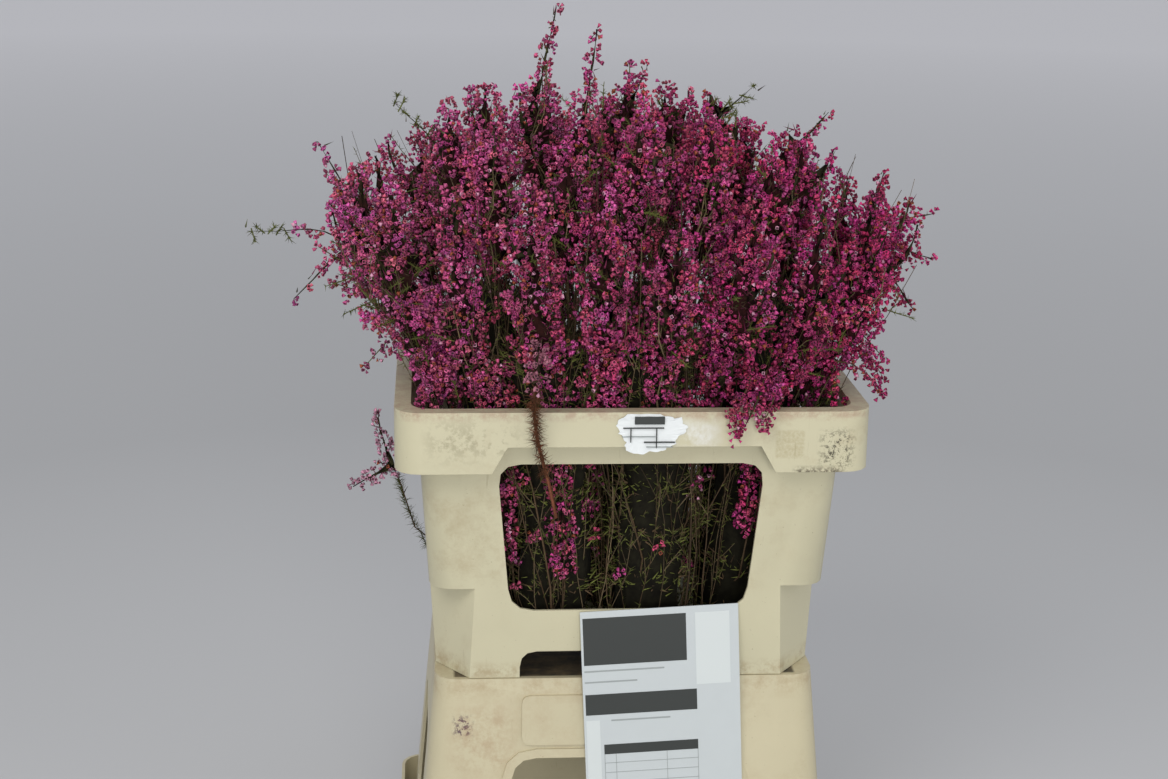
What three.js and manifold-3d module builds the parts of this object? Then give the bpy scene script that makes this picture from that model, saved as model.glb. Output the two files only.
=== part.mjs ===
// Cut heath in a flower crate. Pink sprays on brown-green stems stand in a cream plastic crate with
// open windows. It stands on a second crate turned upside down, and a plain card hangs in front.
// Millimetres, +Z up, the front towards -Y. The origin is on the floor, under the middle.
import * as THREE from "three";
import { mergeVertices } from "three/addons/utils/BufferGeometryUtils.js";
import Module from "manifold-3d";

// Both crates
const CRATE_HEIGHT = 250;
const LIP_HALF_X = 200;
const LIP_HALF_Y = 150;
const LIP_RADIUS = 22;
const LIP_SKIN = 3;
const LIP_DEPTH = 53; // at the corners
const LIP_SHALLOW = 30; // in the middle of each side
const LIP_STEP = 13; // how far the lower edge of the lip takes to rise from one to the other
const MOUTH_HALF_X = 186;
const MOUTH_DROP = 28; // the wall leans out over this height to meet the mouth
const SHORTER = 50; // each half size along Y is this much less than the one along X
const WALL = 3;

// The upper crate, measured up from its foot
const POT_FOOT = 165.7;
const POT_SHOULDER = 180.8;
const BODY_RADIUS = 20;
const CORNER_FACETS = 2; // round each upright corner
const FLOOR_TOP = 33;
const LEDGE = 85; // below it the corners are cut off
const CUT_ALONG_FRONT = 134.5;
const CUT_ALONG_SIDE = 73;
const CUT_BEYOND = 80; // how far the cutting blocks reach past each end of a corner
const CUT_DEEP = 90;
const CUT_DRAFT = 0.034; // the wall's draft, where the cut meets it
const SLACK = 5; // how far a cutting block passes what it cuts
const WINDOW_TOP = 199;
const WINDOW_FOOT = 64;
const WINDOW_RADIUS = 20;
const WINDOW_FACETS = 3; // round each of its corners
const FRONT_WINDOW = [114, 102]; // half widths at the top and at the foot
const SIDE_WINDOW = [74, 66];
const LIP_BREAK_FRONT = 106; // half width of the shallow part of the lip
const LIP_BREAK_SIDE = 62;
const ARCH_HALF = 93;
const ARCH_HEIGHT = 25;
const ARCH_RADIUS = 15;

// The lower crate, measured down from its foot, which is uppermost
const BASE_FOOT = 167;
const BASE_SHOULDER = 187;
const BASE_WINDOW_TOP = 190;
const BASE_WINDOW_FOOT = 72;
const BASE_FRONT_WINDOW = [110, 98];
const PAD_HALF = 91; // raised pad between the foot and the window, on both long sides
const PAD_SPAN = [15, 60];
const PAD_RISE = 2.5;
const PAD_RADIUS = 8;
const BEAD_WIDTH = 8; // raised frame round the window
const BEAD_RISE = 2;

// The card
const CARD = [138, 200, 0.8];
const CARD_MIDDLE = [32, -126.6, 216.5];
const CARD_LEAN = 0.051; // its foot stands further out than its head
const CARD_TURN = 0.049; // turned in its own plane

const GAP = 0.3; // between pieces that rest on each other
const POT_Z = CRATE_HEIGHT + GAP;
const POT_FLOOR = POT_Z + FLOOR_TOP;
const LIP_TOP = POT_Z + CRATE_HEIGHT;

// The heath. Sprays stand in rings, each in its own cell, and fan out above the lip.
const REACH_X = [[283, 158], [450, 172], [500, 180], [535, 218], [600, 256], [700, 276], [830, 284]];
const REACH_Y = [[283, 108], [450, 122], [500, 128], [535, 150], [600, 188], [700, 220], [830, 232]];
const SQUARE_BELOW = 500; // the mass is a rounded oblong up to here
const ROUND_ABOVE = 620; // and an oval from here
const SQUARENESS = [5, 2.3];
const EVEN_OUT = 0.08; // widens the cells at the short ends
const RINGS = [
  { count: 21, at: 0.86, root: 482, spread: 30, length: 60 },
  { count: 14, at: 0.56, root: 596, spread: 24, length: 50 },
  { count: 8, at: 0.29, root: 640, spread: 22, length: 50 },
  { count: 1, at: 0, root: 650, spread: 22, length: 50 },
];
const PLUME = { sides: 6, step: 15.5, fill: 1.08, widest: 32, root: 15, tip: 9, opens: 90 };
const PLUME_OPENS_BY = 0.25; // shares of the length at which a plume is open and starts to draw in
const PLUME_CLOSES_FROM = 0.6;
const SHOOT = { sides: 4, step: 15, thick: 10.5, tapers: 0.55, from: 0.5 };
const FLORET = { proud: 0.9, sunk: 0.5, scatter: 0.2, lift: 0.5 }; // shares of the radius and of the step
const LEADER_STEP = 34; // between the points that a leader's line goes through
const ROOT_SCATTER = 14;
const CROWN = 742; // height of the mass over its middle
const CROWN_FALL = 104; // how much lower it is at the edge
const CROWN_SLOPE = 0.07; // it falls away to the right
const CROWN_SCATTER = 30;
const LOW_SPRAYS = [[-134, 350], [-117, 342], [-54, 376]]; // direction in degrees, height of the root
const LOW_WITHIN = 8.6; // degrees
const SIDE_SHOOT = {
  swing: 2.2,
  above: 18,
  scatter: 30,
  shortest: 0.82,
  longer: 0.24,
  steps: 3,
  near: 0.5,
};
const REACH_LEAVES = { low: 0.2, from: 0.62, on: 0.86 }; // shares of the leader
// Each bend's share of the way to the tip, and of the leader's own way
const REACH_BENDS = [[0.4, 0.3], [0.75, 0.12]];
const BUNCHES = [
  { count: 7, at: 0.62, rings: [0, 1] },
  { count: 3, at: 0.2, rings: [2, 3] },
];
const KNOT = 301; // height at which the stems of a bunch meet
const BRANCH_STEP = 8; // between one branch of a bunch and the next
const STEM_SIDES = 3;
const STEM_END = 1; // how far it ends below its bloom
const TRUNK = { radius: 3, thins: 0.5, step: 50, bare: 40 };
const BRANCH = { radius: 1.9, thins: 0.2, step: 50, bare: 30 };
const TWIG = { radius: 1.9, thins: 0.2, step: 15, bare: 20 };
const NEEDLE = { radius: 0.8, length: 9, every: 38, lean: 0.85 };
const SEED = 9530;

// The sprig that grows out through the left window
const SIDE_TWIG = [[-150, -4, 322], [-174, -8, 336], [-193, -10, 376], [-199.4, -10, 403]];
const SIDE_BLOOMS = [
  { points: [[-200, -10, 404], [-206, -10, 420], [-213, -10, 438], [-217, -10, 464]], thick: 9 },
  { points: [[-205, -10, 412], [-216, -17, 408], [-229, -25, 404], [-240, -31, 398]], thick: 8 },
];

// The withered sprig that hangs over the front of the lip
const WITHERED_EVERY = 7; // between one needle and the next
const WITHERED_TWIG = [
  [-66, -160, 412],
  [-72, -160, 440],
  [-82, -158, 478],
  [-85, -160, 505],
  [-84, -166, 527],
];
const WITHERED_HOOK = [[-85, -159, 505], [-87, -144, 507], [-88, -130, 503], [-89, -124, 482]];
const WITHERED_BLOOM = [[-84, -166.6, 528.8], [-84, -172, 540], [-83, -178, 556], [-82, -181, 570]];
const WITHERED_THICK = 13;

// Sprigs that stand out of the mass, from the spray that they grow on to their tips
const REACHES = [
  { tip: [-60, 0, 823], thick: 7.5 },
  { tip: [-30, -52, 806], thick: 7 },
  { tip: [22, 24, 768], thick: 8 },
  { tip: [76, 20, 745], thick: 8 },
  { tip: [113, -8, 756], thick: 3 },
  { tip: [184, 20, 729], thick: 7.5 },
  { tip: [-202, -14, 740], thick: 3.4 },
  { tip: [-267, 6, 702], thick: 5 },
  { tip: [-318, -120, 646], thick: 4 },
  { tip: [-288, -34, 570], thick: 7 },
  { tip: [240, 34, 676], thick: 7.5 },
  { tip: [311, 118, 620], thick: 8 },
  { tip: [298, 66, 586], thick: 8 },
  { tip: [272, 22, 546], thick: 7.5 },
  { tip: [88, -166, 490], thick: 9, by: [[108, -136, 522], [100, -158, 514]] },
];

const wasm = await Module();
wasm.setup();

// A seeded run of numbers from 0 to 1
function draws(seed) {
  let state = seed >>> 0;
  return () => {
    state = (state + 0x6d2b79f5) >>> 0;
    let t = state;
    t = Math.imul(t ^ (t >>> 15), t | 1);
    t ^= t + Math.imul(t ^ (t >>> 7), t | 61);
    return ((t ^ (t >>> 14)) >>> 0) / 4294967296;
  };
}

// Solids from three.js geometries, and back

function solid(geometry) {
  const bare = geometry.index ? geometry.clone() : geometry;
  bare.deleteAttribute("normal");
  bare.deleteAttribute("uv");
  const merged = mergeVertices(bare, 1e-4);
  return new wasm.Manifold(
    new wasm.Mesh({
      numProp: 3,
      vertProperties: new Float32Array(merged.attributes.position.array),
      triVerts: new Uint32Array(merged.index.array),
    }),
  );
}

function geometryOf(made) {
  const mesh = made.getMesh();
  const geometry = new THREE.BufferGeometry();
  geometry.setAttribute("position", new THREE.BufferAttribute(mesh.vertProperties.slice(), 3));
  geometry.setIndex(new THREE.BufferAttribute(mesh.triVerts.slice(), 1));
  return geometry.toNonIndexed();
}

// One body: what the pieces seal off is filled
function join(solids) {
  const bodies = solids.reduce((whole, next) => whole.add(next)).decompose();
  return bodies.reduce((most, body) => (body.volume() > most.volume() ? body : most));
}

function moveVertices(geometry, where) {
  const position = geometry.attributes.position;
  for (let i = 0; i < position.count; i++) {
    const [x, y, z] = where(position.getX(i), position.getY(i), position.getZ(i));
    position.setXYZ(i, x, y, z);
  }
  return geometry;
}

// Outlines

function roundedOblong(halfX, halfY, radius) {
  const shape = new THREE.Shape();
  shape.absarc(halfX - radius, halfY - radius, radius, 0, Math.PI / 2);
  shape.absarc(radius - halfX, halfY - radius, radius, Math.PI / 2, Math.PI);
  shape.absarc(radius - halfX, radius - halfY, radius, Math.PI, 1.5 * Math.PI);
  shape.absarc(halfX - radius, radius - halfY, radius, 1.5 * Math.PI, 2 * Math.PI);
  return shape;
}

function roundedPolygon(corners, radius) {
  const shape = new THREE.Shape();
  corners.forEach((corner, i) => {
    const here = new THREE.Vector2(...corner);
    const before = new THREE.Vector2(...corners.at(i - 1)).sub(here).setLength(radius).add(here);
    const after = new THREE.Vector2(...corners[(i + 1) % corners.length]).sub(here);
    after.setLength(radius).add(here);
    if (i === 0) shape.moveTo(before.x, before.y);
    else shape.lineTo(before.x, before.y);
    shape.quadraticCurveTo(here.x, here.y, after.x, after.y);
  });
  shape.closePath();
  return shape;
}

function polygon(corners) {
  return new THREE.Shape(corners.map((corner) => new THREE.Vector2(...corner)));
}

// A trapezium that is symmetric about the vertical axis
function trapezium(halfTop, halfFoot, top, foot) {
  return [[-halfFoot, foot], [halfFoot, foot], [halfTop, top], [-halfTop, top]];
}

// Extrusions

// An upright block whose half sizes grow by grow(z) at each of the given heights
function upright(outline, heights, grow = () => 0) {
  const steps = heights.length - 1;
  const options = { depth: 1, steps, curveSegments: CORNER_FACETS, bevelEnabled: false };
  const block = new THREE.ExtrudeGeometry(outline, options);
  moveVertices(block, (x, y, level) => {
    const z = heights[Math.round(level * steps)];
    return [x + Math.sign(x) * grow(z), y + Math.sign(y) * grow(z), z];
  });
  return solid(block);
}

// A block with its outline in the X-Z plane, from one Y to another
function throughY(outline, from, to) {
  const options = { depth: to - from, curveSegments: WINDOW_FACETS, bevelEnabled: false };
  const block = new THREE.ExtrudeGeometry(outline, options);
  return solid(block.rotateX(Math.PI / 2).translate(0, to, 0));
}

// A block with its outline in the Y-Z plane, from one X to another
function throughX(outline, from, to) {
  const options = { depth: to - from, curveSegments: WINDOW_FACETS, bevelEnabled: false };
  const block = new THREE.ExtrudeGeometry(outline, options);
  return solid(block.rotateX(Math.PI / 2).rotateZ(Math.PI / 2).translate(from, 0, 0));
}

// The crates

// How far the outer face of the wall stands out at height z, for a given foot and shoulder
function wallReach(foot, shoulder) {
  const bend = CRATE_HEIGHT - MOUTH_DROP;
  return (z) => {
    if (z <= bend) return foot + ((shoulder - foot) * z) / bend;
    return shoulder + ((MOUTH_HALF_X + WALL - shoulder) * (z - bend)) / MOUTH_DROP;
  };
}

// What the outer face of the wall, moved inwards, encloses between the given heights
function hull(reach, inwards, heights, radius) {
  const start = reach(heights[0]) - inwards;
  const outline = roundedOblong(start, start - SHORTER, radius - inwards);
  return upright(outline, heights, (z) => reach(z) - inwards - start);
}

// Blocks that take off the four lower corners
function cornerCuts(inwards, top) {
  const from = new THREE.Vector2(CUT_ALONG_FRONT, POT_FOOT - SHORTER + LEDGE * CUT_DRAFT);
  const to = new THREE.Vector2(POT_FOOT + LEDGE * CUT_DRAFT, CUT_ALONG_SIDE);
  const along = to.clone().sub(from).normalize();
  const out = new THREE.Vector2(-along.y, along.x);
  const start = from.clone().addScaledVector(along, -CUT_BEYOND).addScaledVector(out, -inwards);
  const end = to.clone().addScaledVector(along, CUT_BEYOND).addScaledVector(out, -inwards);
  const outer = [end, start].map((corner) => corner.clone().addScaledVector(out, CUT_DEEP));
  const outline = [start, end, ...outer];
  const cuts = [];
  for (const signX of [1, -1])
    for (const signY of [1, -1]) {
      const corners = outline.map((point) => [signX * point.x, signY * point.y]);
      cuts.push(upright(polygon(corners), [-SLACK, top]));
    }
  return cuts;
}

// The lip is a skirt that hangs from the mouth, shallower in the middle of each side.
function lip(body) {
  const foot = CRATE_HEIGHT - LIP_DEPTH;
  const whole = upright(roundedOblong(LIP_HALF_X, LIP_HALF_Y, LIP_RADIUS), [foot, CRATE_HEIGHT]);
  const skirtX = LIP_HALF_X - LIP_SKIN;
  const skirtY = LIP_HALF_Y - LIP_SKIN;
  const outline = roundedOblong(skirtX, skirtY, LIP_RADIUS - LIP_SKIN);
  const hollow = upright(outline, [foot - 1, CRATE_HEIGHT - LIP_SKIN]).subtract(body);
  let made = whole.subtract(hollow);
  const shallow = CRATE_HEIGHT - LIP_SHALLOW;
  const rise = (half) => [
    [-half - LIP_STEP - 1, foot - 2],
    [half + LIP_STEP + 1, foot - 2],
    [half + LIP_STEP, foot],
    [half, shallow],
    [-half, shallow],
    [-half - LIP_STEP, foot],
  ];
  const front = polygon(rise(LIP_BREAK_FRONT));
  const side = polygon(rise(LIP_BREAK_SIDE));
  for (const sign of [1, -1]) {
    const [nearY, farY] = [sign * (skirtY - 1), sign * (LIP_HALF_Y + 1)].sort((a, b) => a - b);
    const [nearX, farX] = [sign * (skirtX - 1), sign * (LIP_HALF_X + 1)].sort((a, b) => a - b);
    made = made.subtract(throughY(front, nearY, farY)).subtract(throughX(side, nearX, farX));
  }
  return made;
}

function windowBlocks(frontHalves, top, foot) {
  const front = roundedPolygon(trapezium(...frontHalves, top, foot), WINDOW_RADIUS);
  const side = roundedPolygon(trapezium(...SIDE_WINDOW, top, foot), WINDOW_RADIUS);
  return [throughY(front, -LIP_HALF_Y, LIP_HALF_Y), throughX(side, -LIP_HALF_X, LIP_HALF_X)];
}

function upperCrate() {
  const reach = wallReach(POT_FOOT, POT_SHOULDER);
  const bend = CRATE_HEIGHT - MOUTH_DROP;
  const rimmed = [CRATE_HEIGHT - MOUTH_DROP, CRATE_HEIGHT];
  let body = hull(reach, 0, [0, LEDGE, ...rimmed], BODY_RADIUS);
  for (const cut of cornerCuts(0, LEDGE)) body = body.subtract(cut);
  let hollow = hull(reach, WALL, [FLOOR_TOP, bend, CRATE_HEIGHT + 1], BODY_RADIUS);
  let under = hull(reach, WALL, [-1, FLOOR_TOP - WALL], BODY_RADIUS);
  for (const cut of cornerCuts(WALL, LEDGE + WALL)) {
    hollow = hollow.subtract(cut);
    under = under.subtract(cut);
  }
  let crate = body.add(lip(body)).subtract(hollow).subtract(under);
  for (const block of windowBlocks(FRONT_WINDOW, WINDOW_TOP, WINDOW_FOOT)) crate = crate.subtract(block);
  const arch = roundedPolygon(trapezium(ARCH_HALF, ARCH_HALF, ARCH_HEIGHT, -ARCH_HEIGHT), ARCH_RADIUS);
  return crate.subtract(throughY(arch, -LIP_HALF_Y, LIP_HALF_Y));
}

function lowerCrate() {
  const reach = wallReach(BASE_FOOT, BASE_SHOULDER);
  const bend = CRATE_HEIGHT - MOUTH_DROP;
  const body = hull(reach, 0, [0, bend, CRATE_HEIGHT], BODY_RADIUS);
  const hollow = hull(reach, WALL, [WALL, bend, CRATE_HEIGHT + 1], BODY_RADIUS);
  const draft = (BASE_SHOULDER - BASE_FOOT) / bend;
  // The face of the raised parts follows the draft of the wall.
  const raised = (corners, rise, radius) => {
    const block = throughY(roundedPolygon(corners, radius), -rise, WALL / 2);
    const onWall = [1, 0, 0, 0, 0, 1, 0, 0, 0, -draft, 1, 0, 0, SHORTER - BASE_FOOT, 0, 1];
    const face = block.transform(onWall);
    return face.add(face.mirror([0, 1, 0]));
  };
  const frame = trapezium(
    BASE_FRONT_WINDOW[0] + BEAD_WIDTH,
    BASE_FRONT_WINDOW[1] + BEAD_WIDTH,
    BASE_WINDOW_TOP + BEAD_WIDTH,
    BASE_WINDOW_FOOT - BEAD_WIDTH,
  );
  const pad = trapezium(PAD_HALF, PAD_HALF, PAD_SPAN[1], PAD_SPAN[0]);
  let crate = body.add(lip(body));
  crate = crate.add(raised(frame, BEAD_RISE, WINDOW_RADIUS + BEAD_WIDTH));
  crate = crate.add(raised(pad, PAD_RISE, PAD_RADIUS));
  crate = crate.subtract(hollow);
  for (const block of windowBlocks(BASE_FRONT_WINDOW, BASE_WINDOW_TOP, BASE_WINDOW_FOOT)) {
    crate = crate.subtract(block);
  }
  return crate;
}

// The heath

// A value that runs smoothly through [height, size] stops
function along(stops, z) {
  const last = stops.length - 1;
  if (z <= stops[0][0]) return stops[0][1];
  if (z >= stops[last][0]) return stops[last][1];
  const i = stops.findIndex((stop) => z < stop[0]);
  const [low, high] = [stops[i - 1], stops[i]];
  return low[1] + ((high[1] - low[1]) * (z - low[0])) / (high[0] - low[0]);
}

function smooth(t) {
  const s = Math.min(1, Math.max(0, t));
  return s * s * (3 - 2 * s);
}

// Where the spray line at a share of the reach and an angle stands at height z
function inMass(share, angle, z) {
  const turn = angle + EVEN_OUT * Math.sin(2 * angle);
  const round = smooth((z - SQUARE_BELOW) / (ROUND_ABOVE - SQUARE_BELOW));
  const power = SQUARENESS[0] + (SQUARENESS[1] - SQUARENESS[0]) * round;
  const [c, s] = [Math.cos(turn), Math.sin(turn)];
  const out = share / (Math.abs(c) ** power + Math.abs(s) ** power) ** (1 / power);
  return new THREE.Vector3(out * along(REACH_X, z) * c, out * along(REACH_Y, z) * s, z);
}

// Splits each four-sided patch between its two low corners, so every raised vertex is a peak of
// its own. The geometry lists its patches side by side, each from the last ring down to the first.
function splitAroundFlorets(tube, sides, rings) {
  const index = tube.index.array;
  for (let side = 0; side < sides; side++)
    for (let down = 0; down < rings; down++) {
      const at = 6 * (side * rings + down);
      const raised = (rings - down - 1 + side) % 2;
      const [a, b, d, , c] = index.slice(at, at + 5);
      if (raised) index.set([a, b, c, a, c, d], at);
    }
}

function lineThrough(points) {
  return new THREE.CatmullRomCurve3(points, false, "centripetal");
}

// A closed tube along a line. Each vertex of its rings stands off the line by its relief, and is
// moved along the line by its lift.
function tubeAlong(line, sides, rings, spin, reliefs, lifts) {
  const frames = line.computeFrenetFrames(rings, false);
  const tube = new THREE.CylinderGeometry(1, 1, 1, sides, rings);
  splitAroundFlorets(tube, sides, rings);
  moveVertices(tube, (x, y, z) => {
    const ring = Math.round((y + 0.5) * rings);
    const side = Math.round((Math.atan2(x, z) / (2 * Math.PI)) * sides + sides) % sides;
    const away = Math.hypot(x, z) * reliefs[ring * sides + side];
    const angle = ((side + spin) / sides) * 2 * Math.PI;
    const point = line.getPointAt(ring / rings);
    point.addScaledVector(frames.normals[ring], away * Math.cos(angle));
    point.addScaledVector(frames.binormals[ring], away * Math.sin(angle));
    if (away > 0) point.addScaledVector(frames.tangents[ring], lifts[ring * sides + side]);
    return [point.x, point.y, point.z];
  });
  return solid(tube);
}

// A shoot covered with florets in relief: a tube whose rings go in and out by turns.
// thickAt gives the radius at a share of the length.
function floweringShoot(points, thickAt, sides, step, draw) {
  const line = lineThrough(points);
  const rings = Math.max(3, Math.round(line.getLength() / step));
  const spin = 2 * draw();
  const reliefs = [];
  const lifts = [];
  for (let ring = 0; ring <= rings; ring++)
    for (let side = 0; side < sides; side++) {
      const proud = (ring + side) % 2 ? FLORET.proud : FLORET.sunk;
      reliefs.push(thickAt(ring / rings) * (proud + FLORET.scatter * (draw() - 0.5)));
      lifts.push(ring === 0 || ring === rings ? 0 : step * FLORET.lift * (draw() - 0.5));
    }
  return tubeAlong(line, sides, rings, spin, reliefs, lifts);
}

// A three-sided stem that thins out towards its tip, and needles that stand out of the middle of its
// faces, one face after another
function stemWithNeedles(points, stem, every, draw) {
  const line = lineThrough(points);
  const rings = Math.max(1, Math.round(line.getLength() / stem.step));
  const middles = line.getSpacedPoints(rings);
  const frames = line.computeFrenetFrames(rings, false);
  const spin = STEM_SIDES * draw();
  const reliefs = [];
  for (let ring = 0; ring <= rings; ring++)
    for (let side = 0; side < STEM_SIDES; side++)
      reliefs.push(stem.radius * (1 - (stem.thins * ring) / rings));
  const pieces = [tubeAlong(line, STEM_SIDES, rings, spin, reliefs, reliefs.map(() => 0))];
  const leafy = line.getLength() - stem.bare - NEEDLE.length;
  const count = Math.floor(leafy / every);
  for (let i = 0; i < count; i++) {
    const up = (rings * (stem.bare + (leafy * (i + 0.5)) / count)) / line.getLength();
    const ring = Math.floor(up);
    const turn = ((i + 0.5 + spin) / STEM_SIDES) * 2 * Math.PI;
    const way = middles[ring + 1].clone().sub(middles[ring]).setLength(Math.cos(NEEDLE.lean));
    way.addScaledVector(frames.normals[ring], Math.sin(NEEDLE.lean) * Math.cos(turn));
    way.addScaledVector(frames.binormals[ring], Math.sin(NEEDLE.lean) * Math.sin(turn));
    const cone = new THREE.ConeGeometry(NEEDLE.radius, NEEDLE.length, 3);
    cone.translate(0, NEEDLE.length / 2, 0);
    const upright = new THREE.Vector3(0, 1, 0);
    cone.applyQuaternion(new THREE.Quaternion().setFromUnitVectors(upright, way.normalize()));
    const at = middles[ring].clone().lerp(middles[ring + 1], up - ring);
    pieces.push(solid(cone.translate(at.x, at.y, at.z)));
  }
  return pieces;
}

// The point at height z on the straight pieces of a trunk
function onStem(points, z) {
  const line = lineThrough(points);
  const middles = line.getSpacedPoints(Math.round(line.getLength() / TRUNK.step));
  const next = middles.findIndex((middle) => middle.z > z);
  const [low, high] = [middles[next - 1], middles[next]];
  return low.clone().lerp(high, (z - low.z) / (high.z - low.z));
}

// The sprays of one ring, with the line of their leader
function ringOfSprays(ring, number, draw) {
  const sprays = [];
  for (let i = 0; i < ring.count; i++) {
    const angle = ((i + (number % 2 ? 0.5 : 0.25)) / ring.count) * 2 * Math.PI;
    const top = inMass(ring.at, angle, CROWN);
    let crown = CROWN - CROWN_FALL * ring.at ** 3 - CROWN_SLOPE * top.x;
    crown += CROWN_SCATTER * (draw() - 0.5);
    const degrees = THREE.MathUtils.radToDeg(Math.atan2(top.y, top.x));
    const low = number === 0 && LOW_SPRAYS.find(([at]) => Math.abs(at - degrees) < LOW_WITHIN);
    const root = low ? low[1] : ring.root + ROOT_SCATTER * draw();
    sprays.push({ ring, angle, root, crown });
  }
  return sprays;
}

function leaderPoints(spray) {
  const { ring, angle, root, crown } = spray;
  const count = Math.max(4, Math.round((crown - root) / LEADER_STEP));
  const points = [];
  for (let i = 0; i <= count; i++)
    points.push(inMass(ring.at, angle, root + ((crown - root) * i) / count));
  return points;
}

// The side shoot leaves the plume, swings out and then rises beside its tip.
function sideShoot(spray, draw) {
  const { ring, angle, root, crown } = spray;
  const { swing, above, scatter, shortest, longer, steps, near } = SIDE_SHOOT;
  const out = angle + swing * (draw() - 0.5);
  const start = Math.max(root + above, crown - ring.length - scatter * draw());
  const rise = ring.length * (shortest + longer * draw());
  const points = [];
  for (let step = 0; step <= steps; step++) {
    const point = inMass(ring.at, angle, start + (rise * step) / steps);
    const away = ring.spread * (near + (1 - near) * smooth(step / 2));
    point.x += away * Math.cos(out);
    point.y += away * Math.sin(out);
    points.push(point);
  }
  return points;
}

// Half the width of a spray's cell at height z
function cellHalf(spray, z) {
  const { ring, angle } = spray;
  if (ring.count === 1) return PLUME.widest;
  const next = inMass(ring.at, angle + Math.PI / ring.count, z);
  return next.distanceTo(inMass(ring.at, angle - Math.PI / ring.count, z)) / 2;
}

// The radius of a plume: slim at its root, as wide as its cell, and drawn in towards its tip
function plumeThickness(spray) {
  return (t) => {
    const z = spray.root + (spray.crown - spray.root) * t;
    const room = Math.min(PLUME.widest, PLUME.fill * cellHalf(spray, z));
    const above = smooth((z - LIP_TOP) / PLUME.opens);
    const opened = PLUME.root + (room - PLUME.root) * Math.min(above, smooth(t / PLUME_OPENS_BY));
    const closed = smooth((t - PLUME_CLOSES_FROM) / (1 - PLUME_CLOSES_FROM));
    return opened + (PLUME.tip - opened) * closed;
  };
}

// A slim shoot that draws in towards its tip
function slimShoot(points, thick, draw) {
  const thickAt = (t) => thick * (1 - SHOOT.tapers * smooth((t - SHOOT.from) / (1 - SHOOT.from)));
  return floweringShoot(points, thickAt, SHOOT.sides, SHOOT.step, draw);
}

function spraySolid(spray, reaches, draw) {
  const leader = leaderPoints(spray);
  const plume = floweringShoot(leader, plumeThickness(spray), PLUME.sides, PLUME.step, draw);
  const pieces = [plume, slimShoot(sideShoot(spray, draw), SHOOT.thick, draw)];
  for (const reach of reaches) pieces.push(slimShoot(reachPoints(spray, reach), reach.thick, draw));
  return join(pieces);
}

function vectors(places) {
  return places.map((place) => new THREE.Vector3(...place));
}

// A reach leaves the leader below its tip and bends towards its own tip.
function reachPoints(spray, reach) {
  const tip = new THREE.Vector3(...reach.tip);
  const leader = lineThrough(leaderPoints(spray));
  if (reach.by) return [leader.getPointAt(REACH_LEAVES.low), ...vectors(reach.by), tip];
  const start = leader.getPointAt(REACH_LEAVES.from);
  const on = leader.getPointAt(REACH_LEAVES.on).sub(start);
  const bends = REACH_BENDS.map(([way, lean]) => start.clone().lerp(tip, way).addScaledVector(on, lean));
  return [start, ...bends, tip];
}

// The spray whose line comes nearest to the start of a reach
function nearestSpray(sprays, reach) {
  const aim = new THREE.Vector3(...(reach.by ? reach.by[0] : reach.tip));
  const far = (spray) => {
    const points = leaderPoints(spray);
    return (reach.by ? points[1] : points.at(-1)).distanceTo(aim);
  };
  return sprays.reduce((best, spray) => (far(spray) < far(best) ? spray : best));
}

function turnBetween(from, to) {
  return Math.atan2(Math.sin(to - from), Math.cos(to - from));
}

// The bunches, each with the sprays nearest to it. The leftmost also bears the side twig.
function bunchesOf(sprays) {
  const bunches = [];
  for (const { count, at, rings } of BUNCHES)
    for (let i = 0; i < count; i++)
      bunches.push({ at, rings, angle: ((i + 0.5) / count) * 2 * Math.PI, sprays: [] });
  for (const spray of sprays) {
    const near = bunches.filter((bunch) => bunch.rings.includes(RINGS.indexOf(spray.ring)));
    const far = (bunch) => Math.abs(turnBetween(bunch.angle, spray.angle));
    near.reduce((best, bunch) => (far(bunch) < far(best) ? bunch : best)).sprays.push(spray);
  }
  bunches.find((bunch) => Math.abs(turnBetween(bunch.angle, Math.PI)) < 0.1).twig = SIDE_TWIG;
  return bunches;
}

// From 0 to 1, fast at first and level at the end
function settle(t) {
  return 1 - (1 - Math.min(1, Math.max(0, t))) ** 2;
}

// From its start a stem swings round to the side of its spray and ends on the line of its leader.
// A start, and what this returns, is a share of the reach, an angle and a height.
function stemPlace(start, spray, t) {
  const top = spray.root - STEM_END;
  return {
    at: start.at + (spray.ring.at - start.at) * settle(t / 0.9),
    angle: start.angle + turnBetween(start.angle, spray.angle) * settle(t / 0.6),
    z: start.z + (top - start.z) * t,
  };
}

function stemPoints(start, spray) {
  const count = Math.max(3, Math.round((spray.root - start.z) / BRANCH.step));
  const points = [];
  for (let i = 0; i <= count; i++) {
    const { at, angle, z } = stemPlace(start, spray, i / count);
    points.push(inMass(at, angle, z));
  }
  return points;
}

// The tallest stem of a bunch stands on the floor and the others branch off it one above the other,
// the lowest first.
function bunchSolid(bunch, draw) {
  const ranked = bunch.sprays.toSorted((a, b) => a.root - b.root);
  const tallest = ranked.pop();
  const knot = inMass(bunch.at, bunch.angle, KNOT);
  const foot = knot.clone().setZ(POT_FLOOR);
  const start = { at: bunch.at, angle: bunch.angle, z: KNOT };
  const trunk = [foot, ...stemPoints(start, tallest)];
  const branches = ranked.map((spray, i) => {
    const z = KNOT + BRANCH_STEP * i;
    const points = stemPoints(stemPlace(start, tallest, (z - KNOT) / (tallest.root - KNOT)), spray);
    return [onStem(trunk, z), ...points.slice(1)];
  });
  const pieces = stemWithNeedles(trunk, TRUNK, NEEDLE.every, draw);
  for (const branch of branches) pieces.push(...stemWithNeedles(branch, BRANCH, NEEDLE.every, draw));
  if (bunch.twig) {
    const twig = [onStem(trunk, KNOT), ...vectors(bunch.twig)];
    pieces.push(...stemWithNeedles(twig, BRANCH, NEEDLE.every / 2, draw));
  }
  return join(pieces).trimByPlane([0, 0, 1], POT_FLOOR + GAP);
}

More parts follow.
